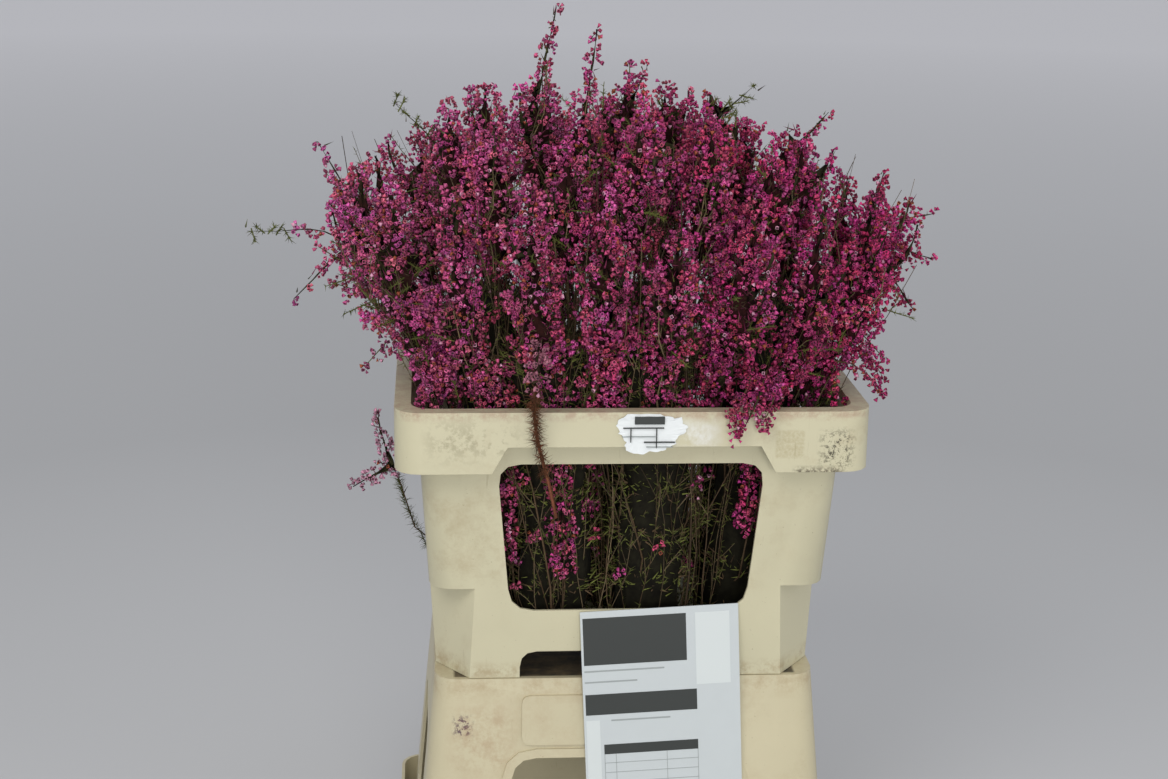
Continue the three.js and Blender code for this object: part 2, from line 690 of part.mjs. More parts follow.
function witheredSprig(draw) {
  const twig = stemWithNeedles(vectors(WITHERED_TWIG), TWIG, WITHERED_EVERY, draw);
  const hook = stemWithNeedles(vectors(WITHERED_HOOK), TWIG, Infinity, draw);
  return join([...twig, ...hook]);
}

const POT_COLOUR = 0xcbc6a4;
const BASE_COLOUR = 0xcfc3a1;
const CARD_COLOUR = 0xd4d8dc;
const BLOOM_COLOUR = 0xa83278;
const STEM_COLOUR = 0x5b5236;
const WITHERED_COLOUR = 0x6b3a26;
const ROUGHNESS = { plastic: 0.5, card: 0.6, bloom: 0.8, stem: 0.85 };

function material(colour, roughness) {
  return new THREE.MeshStandardMaterial({ color: colour, roughness, metalness: 0 });
}

const model = new THREE.Group();

function addPiece(name, made, colour, roughness) {
  const mesh = new THREE.Mesh(geometryOf(made), material(colour, roughness));
  mesh.name = name;
  model.add(mesh);
  return mesh;
}

const pot = addPiece("crate", upperCrate(), POT_COLOUR, ROUGHNESS.plastic);
pot.position.z = POT_Z;
const base = addPiece("base_crate", lowerCrate(), BASE_COLOUR, ROUGHNESS.plastic);
base.rotation.x = Math.PI;
base.position.z = CRATE_HEIGHT;

const cardGeometry = new THREE.BoxGeometry(CARD[0], CARD[2], CARD[1]);
const card = new THREE.Mesh(cardGeometry, material(CARD_COLOUR, ROUGHNESS.card));
card.name = "label_card";
card.position.set(...CARD_MIDDLE);
card.rotation.set(-CARD_LEAN, -CARD_TURN, 0);
model.add(card);

const draw = draws(SEED);
const sprays = RINGS.flatMap((ring, number) => ringOfSprays(ring, number, draw));
const grown = new Map(sprays.map((spray) => [spray, []]));
for (const reach of REACHES) grown.get(nearestSpray(sprays, reach)).push(reach);
const numbered = (name, i) => name + String(i + 1).padStart(2, "0");
sprays.forEach((spray, i) => {
  const made = spraySolid(spray, grown.get(spray), draw);
  addPiece(numbered("bloom_", i), made, BLOOM_COLOUR, ROUGHNESS.bloom);
});
bunchesOf(sprays).forEach((bunch, i) => {
  addPiece(numbered("stems_", i), bunchSolid(bunch, draw), STEM_COLOUR, ROUGHNESS.stem);
});
const sideShoots = SIDE_BLOOMS.map(({ points, thick }) => slimShoot(vectors(points), thick, draw));
addPiece("bloom_side", join(sideShoots), BLOOM_COLOUR, ROUGHNESS.bloom);
addPiece("withered_sprig", witheredSprig(draw), WITHERED_COLOUR, ROUGHNESS.stem);
const head = slimShoot(vectors(WITHERED_BLOOM), WITHERED_THICK, draw);
addPiece("withered_bloom", head, BLOOM_COLOUR, ROUGHNESS.bloom);

export default model;
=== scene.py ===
# Looks of the heath in its flower crate. Metres, in the row's frame.
import math

import bmesh
import bpy
import numpy as np
from mathutils import Matrix, Vector
from mathutils.bvhtree import BVHTree


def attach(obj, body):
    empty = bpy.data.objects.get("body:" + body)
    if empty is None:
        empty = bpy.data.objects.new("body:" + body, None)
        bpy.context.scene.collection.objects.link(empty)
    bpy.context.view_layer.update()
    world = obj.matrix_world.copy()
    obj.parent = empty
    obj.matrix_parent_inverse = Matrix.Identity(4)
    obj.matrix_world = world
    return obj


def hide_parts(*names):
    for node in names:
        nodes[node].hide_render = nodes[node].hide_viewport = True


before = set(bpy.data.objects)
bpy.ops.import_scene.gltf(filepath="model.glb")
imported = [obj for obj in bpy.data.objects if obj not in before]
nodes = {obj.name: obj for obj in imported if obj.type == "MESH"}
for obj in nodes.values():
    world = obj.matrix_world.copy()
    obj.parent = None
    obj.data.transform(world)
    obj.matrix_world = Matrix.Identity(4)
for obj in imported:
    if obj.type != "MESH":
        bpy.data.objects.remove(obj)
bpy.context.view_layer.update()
rng = np.random.default_rng(9530)

# The camera: where it stands and its turns, in radians
CAMERA_AT = (-0.1673, -1.7289, 0.9489)
CAMERA_YAW, CAMERA_PITCH, CAMERA_ROLL = 0.0782, 0.2644, 0.0168
LENS, SENSOR = 61.43, 36.0

# The heath
CLUSTER_GAP = 0.0104  # between the middles of two clusters of bells
CLUSTER_RADIUS = (0.0034, 0.0079)
BELLS_FULL = 12  # in the largest cluster
BELL_LENGTH = 0.0041
# A bell's rim and mouth, as radius and height, and how deep its throat is, in bell lengths
BELL_RIM, BELL_MOUTH, BELL_THROAT = (0.48, 1.0), (0.27, 0.93), 0.3
ROUNDNESS, TALLER = 0.9, 0.75  # a cluster is narrower than its ball and drawn out up and down
THIN = 0.017  # parts thinner than this carry whorls of bells close together
THIN_GAP, THIN_RADIUS = 0.0066, 0.0042
KEPT = {"seen": 1.0, "open": 0.5, "hidden": 0.03}
FULLNESS = {"seen": 1.0, "open": 0.85, "hidden": 0.7}
SPIKES = 0.3  # share of the outer clusters that carry a small spike
FLANK_SHIFT = 0.012  # how far the clusters stand off where the mass bulges over the lip
FLANK_SPIKES, FLANK_STRETCH = 0.9, 1.4  # more and longer spikes there
SPIKE_STEPS = (0.008, 0.0145, 0.0195)  # where the spike's three clusters sit along it
SPIKE_SHARES, SPIKE_BELLS = (0.75, 0.6, 0.45), (7, 5, 4)  # how large they are, and their bells
SPIKE_FULL = 0.007  # smaller clusters carry a shorter spike
CORE_INSET, CORE_SHARE = 0.0115, 0.42  # how deep it lies, and at most in shares of the thickness
NEEDLE_LENGTH = 0.006
CORE_NEEDLE_GAP = 0.005  # between the needles that stand on the inner shade
NEEDLE_RADIUS = 0.0005
THIN_NEEDLE_RADIUS = 0.035  # in needle lengths
RUNNER_AWAY = 0.012  # at most from a spray's own surface
THICK_ENOUGH = 0.022  # thinner parts of a spray show fewer needles between their bells
GREEN_TIPS = np.array([(-0.318, -0.12, 0.646), (0.113, -0.008, 0.756), (-0.202, -0.014, 0.740)])
GREEN_REACH = 0.045  # from a green tip to where bells begin
GREEN_PATCH, GREEN_PATCH_REACH = np.array([-0.2, -0.07, 0.56]), 0.065  # where green twigs show most
LEFT, RIGHT = -0.30, 0.28  # where the paler and the deeper colours are reached
SIDE_TWIG_ON = "stems_04"  # the bunch whose solid holds the twig that leaves the left window
SIDE_TWIG = np.array([
    (-0.15, -0.004, 0.322), (-0.174, -0.008, 0.336), (-0.193, -0.01, 0.376), (-0.1994, -0.01, 0.403)
])
STEM_INSET = 0.0009  # how much thinner the branches are than their solid, all round
THICKET_TWIGS = 52  # to each bunch of stems
SKIRT = 1300  # places tried all over the mouth for bells that stand against its edge
MOUTH, MOUTH_DEPTH = np.array([0.181, 0.131]), 0.026  # half its size, and how far in they stand
SKIRT_LEVELS, SKIRT_RADIUS, SKIRT_BELLS = (0.497, 0.548), (0.006, 0.0085), 9
SKIRT_GREEN = 0.15  # share of those places that carry green twigs
THICKET_FOOT, THICKET_HEAD = 0.286, (0.5, 0.7)
HEART_RADIUS, HEART_TOP = 0.031, 0.56  # of the dense middle of each bunch
HEART_SIDES, HEART_SWELL = 9, (0.8, 1.15)
HEART_NEEDLES, HEART_NEEDLE_LENGTH = 27, (0.006, 0.012)  # to each point of it
TWIGS_EACH, TWIG_LENGTH, TWIG_RADII = 5, (0.014, 0.04), (0.0005, 0.0004, 0.0003)
TWIG_CLUSTER_RADIUS, TWIG_CLUSTER_BELLS = 0.0065, 8
BUD_SHARE, BUD_LENGTH = 0.07, 0.004
# Half the length and width of the room inside the crate, at a few heights
INSIDE = np.array([(0.283, 0.154, 0.104), (0.45, 0.168, 0.118), (0.5, 0.176, 0.124),
                   (0.535, 0.2, 0.14), (0.6, 0.235, 0.17), (0.7, 0.25, 0.19)])
# The cut lower corners: the way that they face, how far out they are, and where they end
CUT_WAY, CUT_REACH, CUT_TOP = np.array([0.834, 0.552]), 0.163, 0.345

# The card: middle, lean and turn as the solid has them, and its size
CARD_MIDDLE = (0.032, -0.1266, 0.2165)
CARD_LEAN, CARD_TURN = 0.051, 0.049
CARD_HALF = (0.069, 0.0004, 0.1)
PRINT_RISE = 0.00018  # how far the marks stand off the card's face


PLANT_SHINE = 0.2


def linear(red, green, blue):
    """A display colour from 0 to 255 as the linear values that a shader takes."""
    c = np.array([red, green, blue]) / 255
    return np.where(c <= 0.04045, c / 12.92, ((c + 0.055) / 1.055) ** 2.4)


PETAL_LEFT, PETAL_RIGHT = linear(210, 102, 148), linear(186, 48, 109)
PETAL_PALE, PETAL_OLD = linear(220, 160, 186), linear(160, 84, 60)
PETAL_FADED = linear(176, 112, 130)
LEAF_GREEN, LEAF_DARK = linear(98, 104, 50), linear(58, 58, 34)
BARK, BARK_PALE = linear(92, 74, 54), linear(150, 130, 100)
# Painted shade: colours of the dark bodies inside the sprays.
SHADE_CORE_LEFT, SHADE_CORE_RIGHT = linear(52, 30, 22), linear(56, 16, 22)
# Painted shade: colour of the dark tube in the middle of each bunch.
HEART_SHADE = linear(30, 28, 17)
WITHERED, WITHERED_STEM = linear(104, 66, 42), linear(128, 76, 54)
CREAM, CREAM_BASE = linear(197, 191, 161), linear(194, 185, 154)
PAPER, INK, INK_PALE = linear(191, 197, 198), linear(44, 48, 46), linear(150, 156, 155)


# Materials


def new_material(name, roughness):
    material = bpy.data.materials.new(name)
    material.use_nodes = True
    shader = material.node_tree.nodes["Principled BSDF"]
    shader.inputs["Roughness"].default_value = roughness
    return material, material.node_tree, shader


def add_node(tree, kind, **settings):
    node = tree.nodes.new(kind)
    for name, value in settings.items():
        if name in node.inputs:
            node.inputs[name].default_value = value
        else:
            setattr(node, name, value)
    return node


def ramp(tree, source, stops):
    """A colour ramp over source. Each stop is (position, colour)."""
    node = add_node(tree, "ShaderNodeValToRGB")
    elements = node.color_ramp.elements
    while len(elements) < len(stops):
        elements.new(0.5)
    for element, (position, colour) in zip(elements, stops):
        element.position = position
        element.color = (*colour, 1)
    tree.links.new(source, node.inputs[0])
    return node.outputs[0]


def blend_in(tree, factor, below, above):
    """Colour socket `above` over socket `below` by a factor socket."""
    mix = add_node(tree, "ShaderNodeMix", data_type="RGBA")
    tree.links.new(factor, mix.inputs["Factor"])
    for socket, value in ((mix.inputs[6], below), (mix.inputs[7], above)):
        if isinstance(value, bpy.types.NodeSocket):
            tree.links.new(value, socket)
        else:
            socket.default_value = (*value, 1)
    return mix.outputs[2]


def noise(tree, coordinates, scale, detail=4, roughness=0.6):
    node = add_node(tree, "ShaderNodeTexNoise", Scale=scale, Detail=detail, Roughness=roughness)
    tree.links.new(coordinates, node.inputs["Vector"])
    return node.outputs["Fac"]


def threshold(tree, value, low, high, strength=1.0):
    """0 below low, strength above high."""
    node = add_node(tree, "ShaderNodeMapRange")
    node.inputs["From Min"].default_value = low
    node.inputs["From Max"].default_value = high
    node.inputs["To Max"].default_value = strength
    tree.links.new(value, node.inputs["Value"])
    return node.outputs["Result"]


def product(tree, *values):
    result = values[0]
    for value in values[1:]:
        node = add_node(tree, "ShaderNodeMath", operation="MULTIPLY")
        tree.links.new(result, node.inputs[0])
        tree.links.new(value, node.inputs[1])
        result = node.outputs[0]
    return result


def scaled(tree, coordinates, scale):
    node = add_node(tree, "ShaderNodeMapping")
    node.inputs["Scale"].default_value = scale
    tree.links.new(coordinates, node.inputs["Vector"])
    return node.outputs["Vector"]


def within(tree, coordinates, low, high, soft):
    """1 inside the box from low to high, fading over soft metres."""
    middle, half = (np.array(low) + high) / 2, (np.array(high) - low) / 2
    shifted = add_node(tree, "ShaderNodeVectorMath", operation="SUBTRACT")
    shifted.inputs[1].default_value = middle
    tree.links.new(coordinates, shifted.inputs[0])
    absolute = add_node(tree, "ShaderNodeVectorMath", operation="ABSOLUTE")
    tree.links.new(shifted.outputs[0], absolute.inputs[0])
    parts = add_node(tree, "ShaderNodeSeparateXYZ")
    tree.links.new(absolute.outputs[0], parts.inputs[0])
    sides = []
    for part, size in zip(parts.outputs, half):
        side = threshold(tree, part, size - soft, size + soft)
        inverse = add_node(tree, "ShaderNodeMath", operation="SUBTRACT")
        inverse.inputs[0].default_value = 1
        tree.links.new(side, inverse.inputs[1])
        sides.append(inverse.outputs[0])
    return product(tree, *sides)


def bump(tree, shader, height, strength, distance):
    node = add_node(tree, "ShaderNodeBump", Strength=strength, Distance=distance)
    tree.links.new(height, node.inputs["Height"])
    tree.links.new(node.outputs["Normal"], shader.inputs["Normal"])


def tinted_material(name, roughness, grain, contrast):
    """Takes its colour from the mesh's tint and breaks it up with fine noise."""
    material, tree, shader = new_material(name, roughness)
    shader.inputs["Specular IOR Level"].default_value = PLANT_SHINE
    tint = add_node(tree, "ShaderNodeAttribute", attribute_name="tint")
    place = add_node(tree, "ShaderNodeTexCoord").outputs["Object"]
    spots = threshold(tree, noise(tree, place, grain, 2), 0.35, 0.65, contrast)
    dark = add_node(tree, "ShaderNodeMix", data_type="RGBA", blend_type="MULTIPLY")
    dark.inputs[7].default_value = (0.3, 0.26, 0.24, 1)
    tree.links.new(spots, dark.inputs["Factor"])
    tree.links.new(tint.outputs["Color"], dark.inputs[6])
    tree.links.new(dark.outputs[2], shader.inputs["Base Color"])
    return material


def plastic_material(name, colour, patches):
    """Used cream plastic: faint clouds, grey specks, scratches, and dirt, wear and painted shade in
    the given patches.

    A patch is (low corner, high corner, soft edge, grain, limits of the noise, strength, colour).
    """
    material, tree, shader = new_material(name, 0.42)
    place = add_node(tree, "ShaderNodeTexCoord").outputs["Object"]
    clouds = threshold(tree, noise(tree, place, 9, 5), 0.35, 0.7, 0.5)
    shade = blend_in(tree, clouds, colour, colour * 0.9)
    specks = threshold(tree, noise(tree, place, 420, 2), 0.715, 0.76, 0.45)
    shade = blend_in(tree, specks, shade, linear(120, 104, 76))
    stretched = scaled(tree, place, (160, 160, 9))
    scratches = product(
        tree,
        threshold(tree, noise(tree, stretched, 1.4, 3, 0.7), 0.64, 0.72, 0.5),
        threshold(tree, noise(tree, place, 14, 2), 0.5, 0.62),
    )
    shade = blend_in(tree, scratches, shade, linear(146, 132, 100))
    grime = product(
        tree,
        threshold(tree, noise(tree, place, 26, 6, 0.75), 0.5, 0.7, 0.42),
        threshold(tree, noise(tree, place, 5, 3), 0.45, 0.6),
    )
    shade = blend_in(tree, grime, shade, linear(158, 138, 104))
    # Some patches paint dirt and wear; the near-black ones paint shade and shadow.
    for low, high, soft, grain, limits, strength, dirt_and_shade in patches:
        spots = threshold(tree, noise(tree, place, grain, 6, 0.75), *limits, strength)
        mask = product(tree, spots, within(tree, place, low, high, soft))
        shade = blend_in(tree, mask, shade, dirt_and_shade)
    tree.links.new(shade, shader.inputs["Base Color"])
    bump(tree, shader, noise(tree, place, 260, 3), 0.12, 0.0006)
    return material


def paper_material(name, colour):
    material, tree, shader = new_material(name, 0.62)
    place = add_node(tree, "ShaderNodeTexCoord").outputs["Object"]
    fibres = threshold(tree, noise(tree, place, 40, 5), 0.4, 0.75, 0.35)
    shade = blend_in(tree, fibres, colour, colour * 0.93)
    tree.links.new(shade, shader.inputs["Base Color"])
    return material


def plain_material(name, colour, roughness):
    material, _, shader = new_material(name, roughness)
    shader.inputs["Base Color"].default_value = (*colour, 1)
    return material


petal = tinted_material("petal", 0.55, 900, 0.25)
leaf = tinted_material("leaf", 0.6, 700, 0.3)
bark = tinted_material("bark", 0.75, 500, 0.45)
shade_core = tinted_material("inner_shade", 0.9, 130, 0.9)
PETAL, LEAF, TWIG_BARK, CORE = range(4)
PLANT_MATERIALS = (petal, leaf, bark, shade_core)


# Meshes


def linked(name, data):
    """A new object in the scene for a mesh, a lamp or a camera."""
    made = bpy.data.objects.new(name, data)
    bpy.context.scene.collection.objects.link(made)
    return made


class Heap:
    """Triangles gathered for one mesh: points, corners, tints and material numbers."""

    def __init__(self):
        self.points, self.corners, self.tints, self.kinds = [], [], [], []
        self.count = 0

    def add(self, points, corners, tints, kind):
        self.points.append(points.reshape(-1, 3))
        self.corners.append(corners.reshape(-1, 3) + self.count)
        self.tints.append(tints.reshape(-1, 3))
        self.kinds.append(np.full(corners.size // 3, kind))
        self.count += points.size // 3

    def build(self, name, materials):
        mesh = bpy.data.meshes.new(name)
        points, corners = np.vstack(self.points), np.vstack(self.corners)
        mesh.vertices.add(len(points))
        mesh.vertices.foreach_set("co", points.astype(np.float32).ravel())
        mesh.loops.add(corners.size)
        mesh.loops.foreach_set("vertex_index", corners.astype(np.int32).ravel())
        mesh.polygons.add(len(corners))
        mesh.polygons.foreach_set("loop_start", np.arange(0, corners.size, 3, dtype=np.int32))
        for material in materials:
            mesh.materials.append(material)
        mesh.polygons.foreach_set("material_index", np.concatenate(self.kinds).astype(np.int32))
        mesh.polygons.foreach_set("use_smooth", np.ones(len(corners), bool))
        tint = mesh.color_attributes.new("tint", "FLOAT_COLOR", "POINT")
        rgba = np.column_stack([np.vstack(self.tints), np.ones(len(points))])
        tint.data.foreach_set("color", rgba.astype(np.float32).ravel())
        mesh.update(calc_edges=True)
        return linked(name, mesh)


def unit(vectors):
    return vectors / np.maximum(np.linalg.norm(vectors, axis=-1, keepdims=True), 1e-9)


def frames_along(axes, spins):
    """A right-handed frame for each direction, its Z along it, turned about it by spin."""
    upright = np.abs(axes[:, 2:]) < 0.9
    helper = np.where(upright, [[0.0, 0.0, 1.0]], [[1.0, 0.0, 0.0]])
    x = unit(np.cross(helper, axes))
    y = np.cross(axes, x)
    c, s = np.cos(spins)[:, None], np.sin(spins)[:, None]
    return np.stack([c * x + s * y, c * y - s * x, axes], 2)


def stamp(heap, template, origins, axes, sizes, tints, kind):
    """Copies of a template, each along its own axis. The template is (points, corners, light)."""
    points, corners, light = template
    turned = frames_along(axes, rng.uniform(0, 2 * math.pi, len(origins)))
    placed = origins[:, None] + sizes[:, None, None] * np.einsum("nij,tj->nti", turned, points)
    numbered = corners[None] + np.arange(len(origins))[:, None, None] * len(points)
    heap.add(placed, numbered, tints[:, None] * light[None, :, None], kind)


def ring_of(sides, radius, height):
    turn = np.arange(sides) / sides * 2 * math.pi
    return np.column_stack([np.cos(turn) * radius, np.sin(turn) * radius, np.full(sides, height)])


def band_of(sides, first, second):
    """Triangles between two rings of points that start at the given numbers."""
    i = np.arange(sides)
    j = (i + 1) % sides
    lower = np.column_stack([first + i, first + j, second + j])
    return np.vstack([lower, np.column_stack([first + i, second + j, second + i])])


def bell_template(sides):
    """A bell of unit length: a cone with a painted highlight on the rim round its mouth, and
    painted shade in its mouth, at its foot and darkest in its throat.
    """
    rim, mouth = ring_of(sides, *BELL_RIM), ring_of(sides, *BELL_MOUTH)
    points = np.vstack([rim, mouth, [[0, 0, 0], [0, 0, BELL_THROAT]]])
    i = np.arange(sides)
    cone = np.column_stack([(i + 1) % sides, i, np.full(sides, 2 * sides)])
    throat = np.column_stack([sides + i, sides + (i + 1) % sides, np.full(sides, 2 * sides + 1)])
    corners = np.vstack([cone, band_of(sides, 0, sides), throat])
    # Painted light at each point: lighter on the rim as a highlight, darker on the mouth, the foot
    # and the throat as shade.
    light = np.concatenate([np.full(sides, 1.24), np.full(sides, 0.2), [0.3, 0.01]])
    return points, corners, light


def needle_template(radius):
    """A three-sided needle of unit length, paler at its tip."""
    points = np.vstack([ring_of(3, radius, 0), [[0, 0, 1]]])
    corners = np.array([[0, 1, 3], [1, 2, 3], [2, 0, 3]])
    return points, corners, np.array([0.7, 0.7, 0.7, 1.1])


def bud_template():
    """A closed bud of unit length, thickest in its middle."""
    points = np.vstack([[[0, 0, 0]], ring_of(4, 0.4, 0.5), [[0, 0, 1]]])
    i = np.arange(4) + 1
    j = np.roll(i, -1)
    lower, upper = np.column_stack([j, i, np.zeros(4, int)]), np.column_stack([i, j, np.full(4, 5)])
    return points, np.vstack([lower, upper]), np.array([0.8, 1, 1, 1, 1, 1.1])


BELL = bell_template(4)
NEEDLE = needle_template(NEEDLE_RADIUS / NEEDLE_LENGTH)
THIN_NEEDLE = needle_template(THIN_NEEDLE_RADIUS)
BUD = bud_template()


def tubes(heap, lines, radii, tints, kind, sides=3):
    """A thin tube along each line of points."""
    count, steps = lines.shape[:2]
    turned = frames_along(unit(lines[:, -1] - lines[:, 0]), np.zeros(count))
    rim = np.einsum("nij,sj->nsi", turned, ring_of(sides, 1, 0))
    points = lines[:, :, None] + radii[:, :, None, None] * rim[:, None]
    one = np.vstack([band_of(sides, k * sides, (k + 1) * sides) for k in range(steps - 1)])
    corners = one[None] + np.arange(count)[:, None, None] * steps * sides
    spread = np.broadcast_to(tints[:, None], (count, steps * sides, 3))
    heap.add(points, corners, spread, kind)


def along(lines, shares):
    """The points at the given shares of each line, and the lines' directions there."""
    steps = lines.shape[1] - 1
    at = np.clip(shares * steps, 0, steps - 1e-6)
    whole = at.astype(int)
    rows = np.arange(len(lines))[:, None]
    start, end = lines[rows, whole], lines[rows, whole + 1]
    return start + (end - start) * (at - whole)[..., None], unit(end - start)


def needles_along(
    heap, lines, each, length, tints, lean=0.75, span=(0.04, 1.0), template=NEEDLE
):
    """Needles that stand off each line, within the span of it, and lean along it."""
    shares = np.sort(rng.uniform(*span, (len(lines), each)), axis=1)
    places, ways = along(lines, shares)
    outward = unit(rng.normal(size=ways.shape))
    axes = unit(ways * lean + outward).reshape(-1, 3)
    sizes = length * rng.uniform(0.7, 1.2, axes.shape[0])
    colours = np.repeat(tints, each, axis=0) * rng.uniform(0.6, 1.35, (axes.shape[0], 1))
    stamp(heap, template, places.reshape(-1, 3), axes, sizes, colours, LEAF)


def mesh_arrays(obj):
    mesh = obj.data
    mesh.calc_loop_triangles()
    points = np.zeros(len(mesh.vertices) * 3, np.float32)
    mesh.vertices.foreach_get("co", points)
    corners = np.zeros(len(mesh.loop_triangles) * 3, np.int32)
    mesh.loop_triangles.foreach_get("vertices", corners)
    return points.reshape(-1, 3).astype(float), corners.reshape(-1, 3)


def welded(obj):
    """The node's points and triangles with shared corners, and a normal at each point."""
    whole = bmesh.new()
    whole.from_mesh(obj.data)
    bmesh.ops.remove_doubles(whole, verts=whole.verts, dist=1e-5)
    bmesh.ops.triangulate(whole, faces=whole.faces)
    whole.normal_update()
    points = np.array([v.co for v in whole.verts])
    normals = np.array([v.normal for v in whole.verts])
    corners = np.array([[v.index for v in f.verts] for f in whole.faces])
    whole.free()
    return points, corners, normals


def tree_of(names):
    points, corners, start = [], [], 0
    for name in names:
        p, c = mesh_arrays(nodes[name])
        points.append(p)
        corners.append(c + start)
        start += len(p)
    return BVHTree.FromPolygons(np.vstack(points).tolist(), np.vstack(corners).tolist())


# Where the clusters of bells sit on a node


def faces_of(points, corners):
    """The three corners, the normal and the area of each triangle."""
    a, b, c = (points[corners[:, k]] for k in range(3))
    cross = np.cross(b - a, c - a)
    return a, b, c, unit(cross), np.linalg.norm(cross, axis=1) / 2


def sample_surface(points, corners, gap):
    """Places on a surface at least gap apart, and its normals there."""
    a, b, c, upright, area = faces_of(points, corners)
    tries = int(area.sum() / gap**2 * 5) + 8
    picked = rng.choice(len(area), tries, p=area / area.sum())
    u, v = rng.random((2, tries, 1))
    flip = u + v > 1
    u, v = np.where(flip, 1 - u, u), np.where(flip, 1 - v, v)
    places = a[picked] + u * (b - a)[picked] + v * (c - a)[picked]
    normals = upright[picked]
    taken, kept = {}, []
    for i, place in enumerate(places):
        cell = tuple((place // gap).astype(int))
        near = (
            taken.get((cell[0] + x, cell[1] + y, cell[2] + z), ())
            for x in (-1, 0, 1)
            for y in (-1, 0, 1)
            for z in (-1, 0, 1)
        )
        if all(((place - places[j]) ** 2).sum() > gap**2 for cluster in near for j in cluster):
            taken.setdefault(cell, []).append(i)
            kept.append(i)
    return places[kept], normals[kept]


def sphere_points(count):
    i = np.arange(count) + 0.5
    height = 1 - 2 * i / count
    turn = i * math.pi * (3 - math.sqrt(5))
    level = np.sqrt(1 - height**2)
    return np.column_stack([np.cos(turn) * level, np.sin(turn) * level, height])


LOOKS = sphere_points(22)


def how_seen(tree, place, normal):
    """Whether the camera sees a place, or it is open to another side, or hidden."""
    start = Vector(place + normal * 0.003)
    to_camera = Vector(CAMERA_AT) - start
    faces_camera = normal @ np.array(to_camera) > -0.2
    if faces_camera and tree.ray_cast(start, to_camera.normalized(), 2.5)[0] is None:
        return "seen"
    for look in LOOKS:
        if look @ normal > 0.25 and tree.ray_cast(start, Vector(look), 0.6)[0] is None:
            return "open"
    return "hidden"


def thickness(tree, place, normal):
    """How thick the solid is below a place on its surface."""
    hit = tree.ray_cast(Vector(place - normal * 1e-5), Vector(-normal), 0.1)
    return hit[3] if hit[0] is not None else 0.02


def add_cluster(heap, middle, axis, radius, bells, tint):
    """Bells over the outer half of a small ball."""
    ball = sphere_points(2 * bells + 3)
    turned = frames_along(axis[None], rng.uniform(0, 2 * math.pi, 1))[0]
    ways = unit(ball[:bells] + rng.normal(scale=0.22, size=(bells, 3))) @ turned.T
    ways = unit(ways + [0, 0, -0.12])
    sizes = BELL_LENGTH * rng.uniform(0.8, 1.15, bells)
    origins = middle + ways * np.maximum(radius * ROUNDNESS - sizes, 0.0006)[:, None]
    origins[:, 2] += radius * rng.uniform(-TALLER, TALLER, bells)
    colours = tint * rng.uniform(0.72, 1.25, (bells, 1))
    kind = rng.random(bells)
    colours = np.where((kind > 0.97)[:, None], PETAL_PALE, colours)
    colours = np.where((kind < 0.04)[:, None], PETAL_OLD, colours)
    stamp(heap, BELL, origins, ways, sizes, colours, PETAL)


def side_share(x):
    """0 on the left, 1 on the right."""
    return np.clip((x - LEFT) / (RIGHT - LEFT), 0, 1)


def across(left, right, share):
    return left * (1 - share) + right * share


def petal_tint(place):
    share = np.clip(side_share(place[0]) + rng.normal(scale=0.16), 0, 1)
    tint = across(PETAL_LEFT, PETAL_RIGHT, share) * rng.uniform(0.55, 1.25)
    return tint * [1, rng.uniform(0.8, 1.2), rng.uniform(0.68, 1.35)]


def add_green_tuft(heap, place, axis, radius):
    """A short needled twig in place of bells."""
    length = radius * 2.2
    foot, tip = place - axis * 0.004, place + axis * length
    line = np.stack([foot, place + axis * length * 0.5, tip])[None]
    green = LEAF_GREEN * rng.uniform(0.7, 1.4)
    tubes(heap, line, np.array([[0.0007, 0.0006, 0.0003]]), green[None], TWIG_BARK)
    needles_along(heap, line, 24, NEEDLE_LENGTH * 0.85, green[None], 0.8, (0.1, 1))


def add_core(heap, name):
    """A dark body under the bells, a little inside the solid, that paints the shade deep in the
    spray.
    """
    points, corners, normals = welded(nodes[name])
    tree = BVHTree.FromPolygons(points.tolist(), corners.tolist())
    deep = np.array([thickness(tree, p, n) for p, n in zip(points, normals)])[:, None]
    share = side_share(points[:, :1])
    tints = np.where(deep < THIN, LEAF_DARK, across(SHADE_CORE_LEFT, SHADE_CORE_RIGHT, share))
    heap.add(points - normals * np.minimum(CORE_INSET, CORE_SHARE * deep), corners, tints, CORE)


def add_core_needles(heap, own, points, corners):
    """Needles all over the inner shade, in the colours of leaves and old flowers."""
    a, b, c, upright, area = faces_of(points, corners)
    count = int(area.sum() / CORE_NEEDLE_GAP**2)
    picked = rng.choice(len(area), count, p=area / area.sum())
    u, v = np.sort(rng.random((2, count)), axis=0)[..., None]
    places = a[picked] * u + b[picked] * (v - u) + c[picked] * (1 - v)
    normals = upright[picked]
    deep = np.array([thickness(own, place, normal) for place, normal in zip(places, normals)])
    kept = (deep > THICK_ENOUGH) | (rng.random(count) < 0.15)
    places, normals, count = places[kept], normals[kept], int(kept.sum())
    ways = unit(normals * 0.5 + [0, 0, 0.55] + rng.normal(scale=0.4, size=normals.shape))
    kind = rng.random((count, 1))
    share = side_share(places[:, :1])
    old_flower = across(PETAL_LEFT, PETAL_RIGHT, share) * 0.42
    green_or_brown = np.where(kind < 0.75, LEAF_GREEN * 0.8, BARK)
    colours = np.where(kind < 0.38 + 0.2 * share, old_flower, green_or_brown)
    colours = colours * rng.uniform(0.35, 1.3, (count, 1))
    sizes = rng.uniform(0.006, 0.011, count)
    stamp(heap, NEEDLE, places - normals * 0.006, ways, sizes, colours, LEAF)


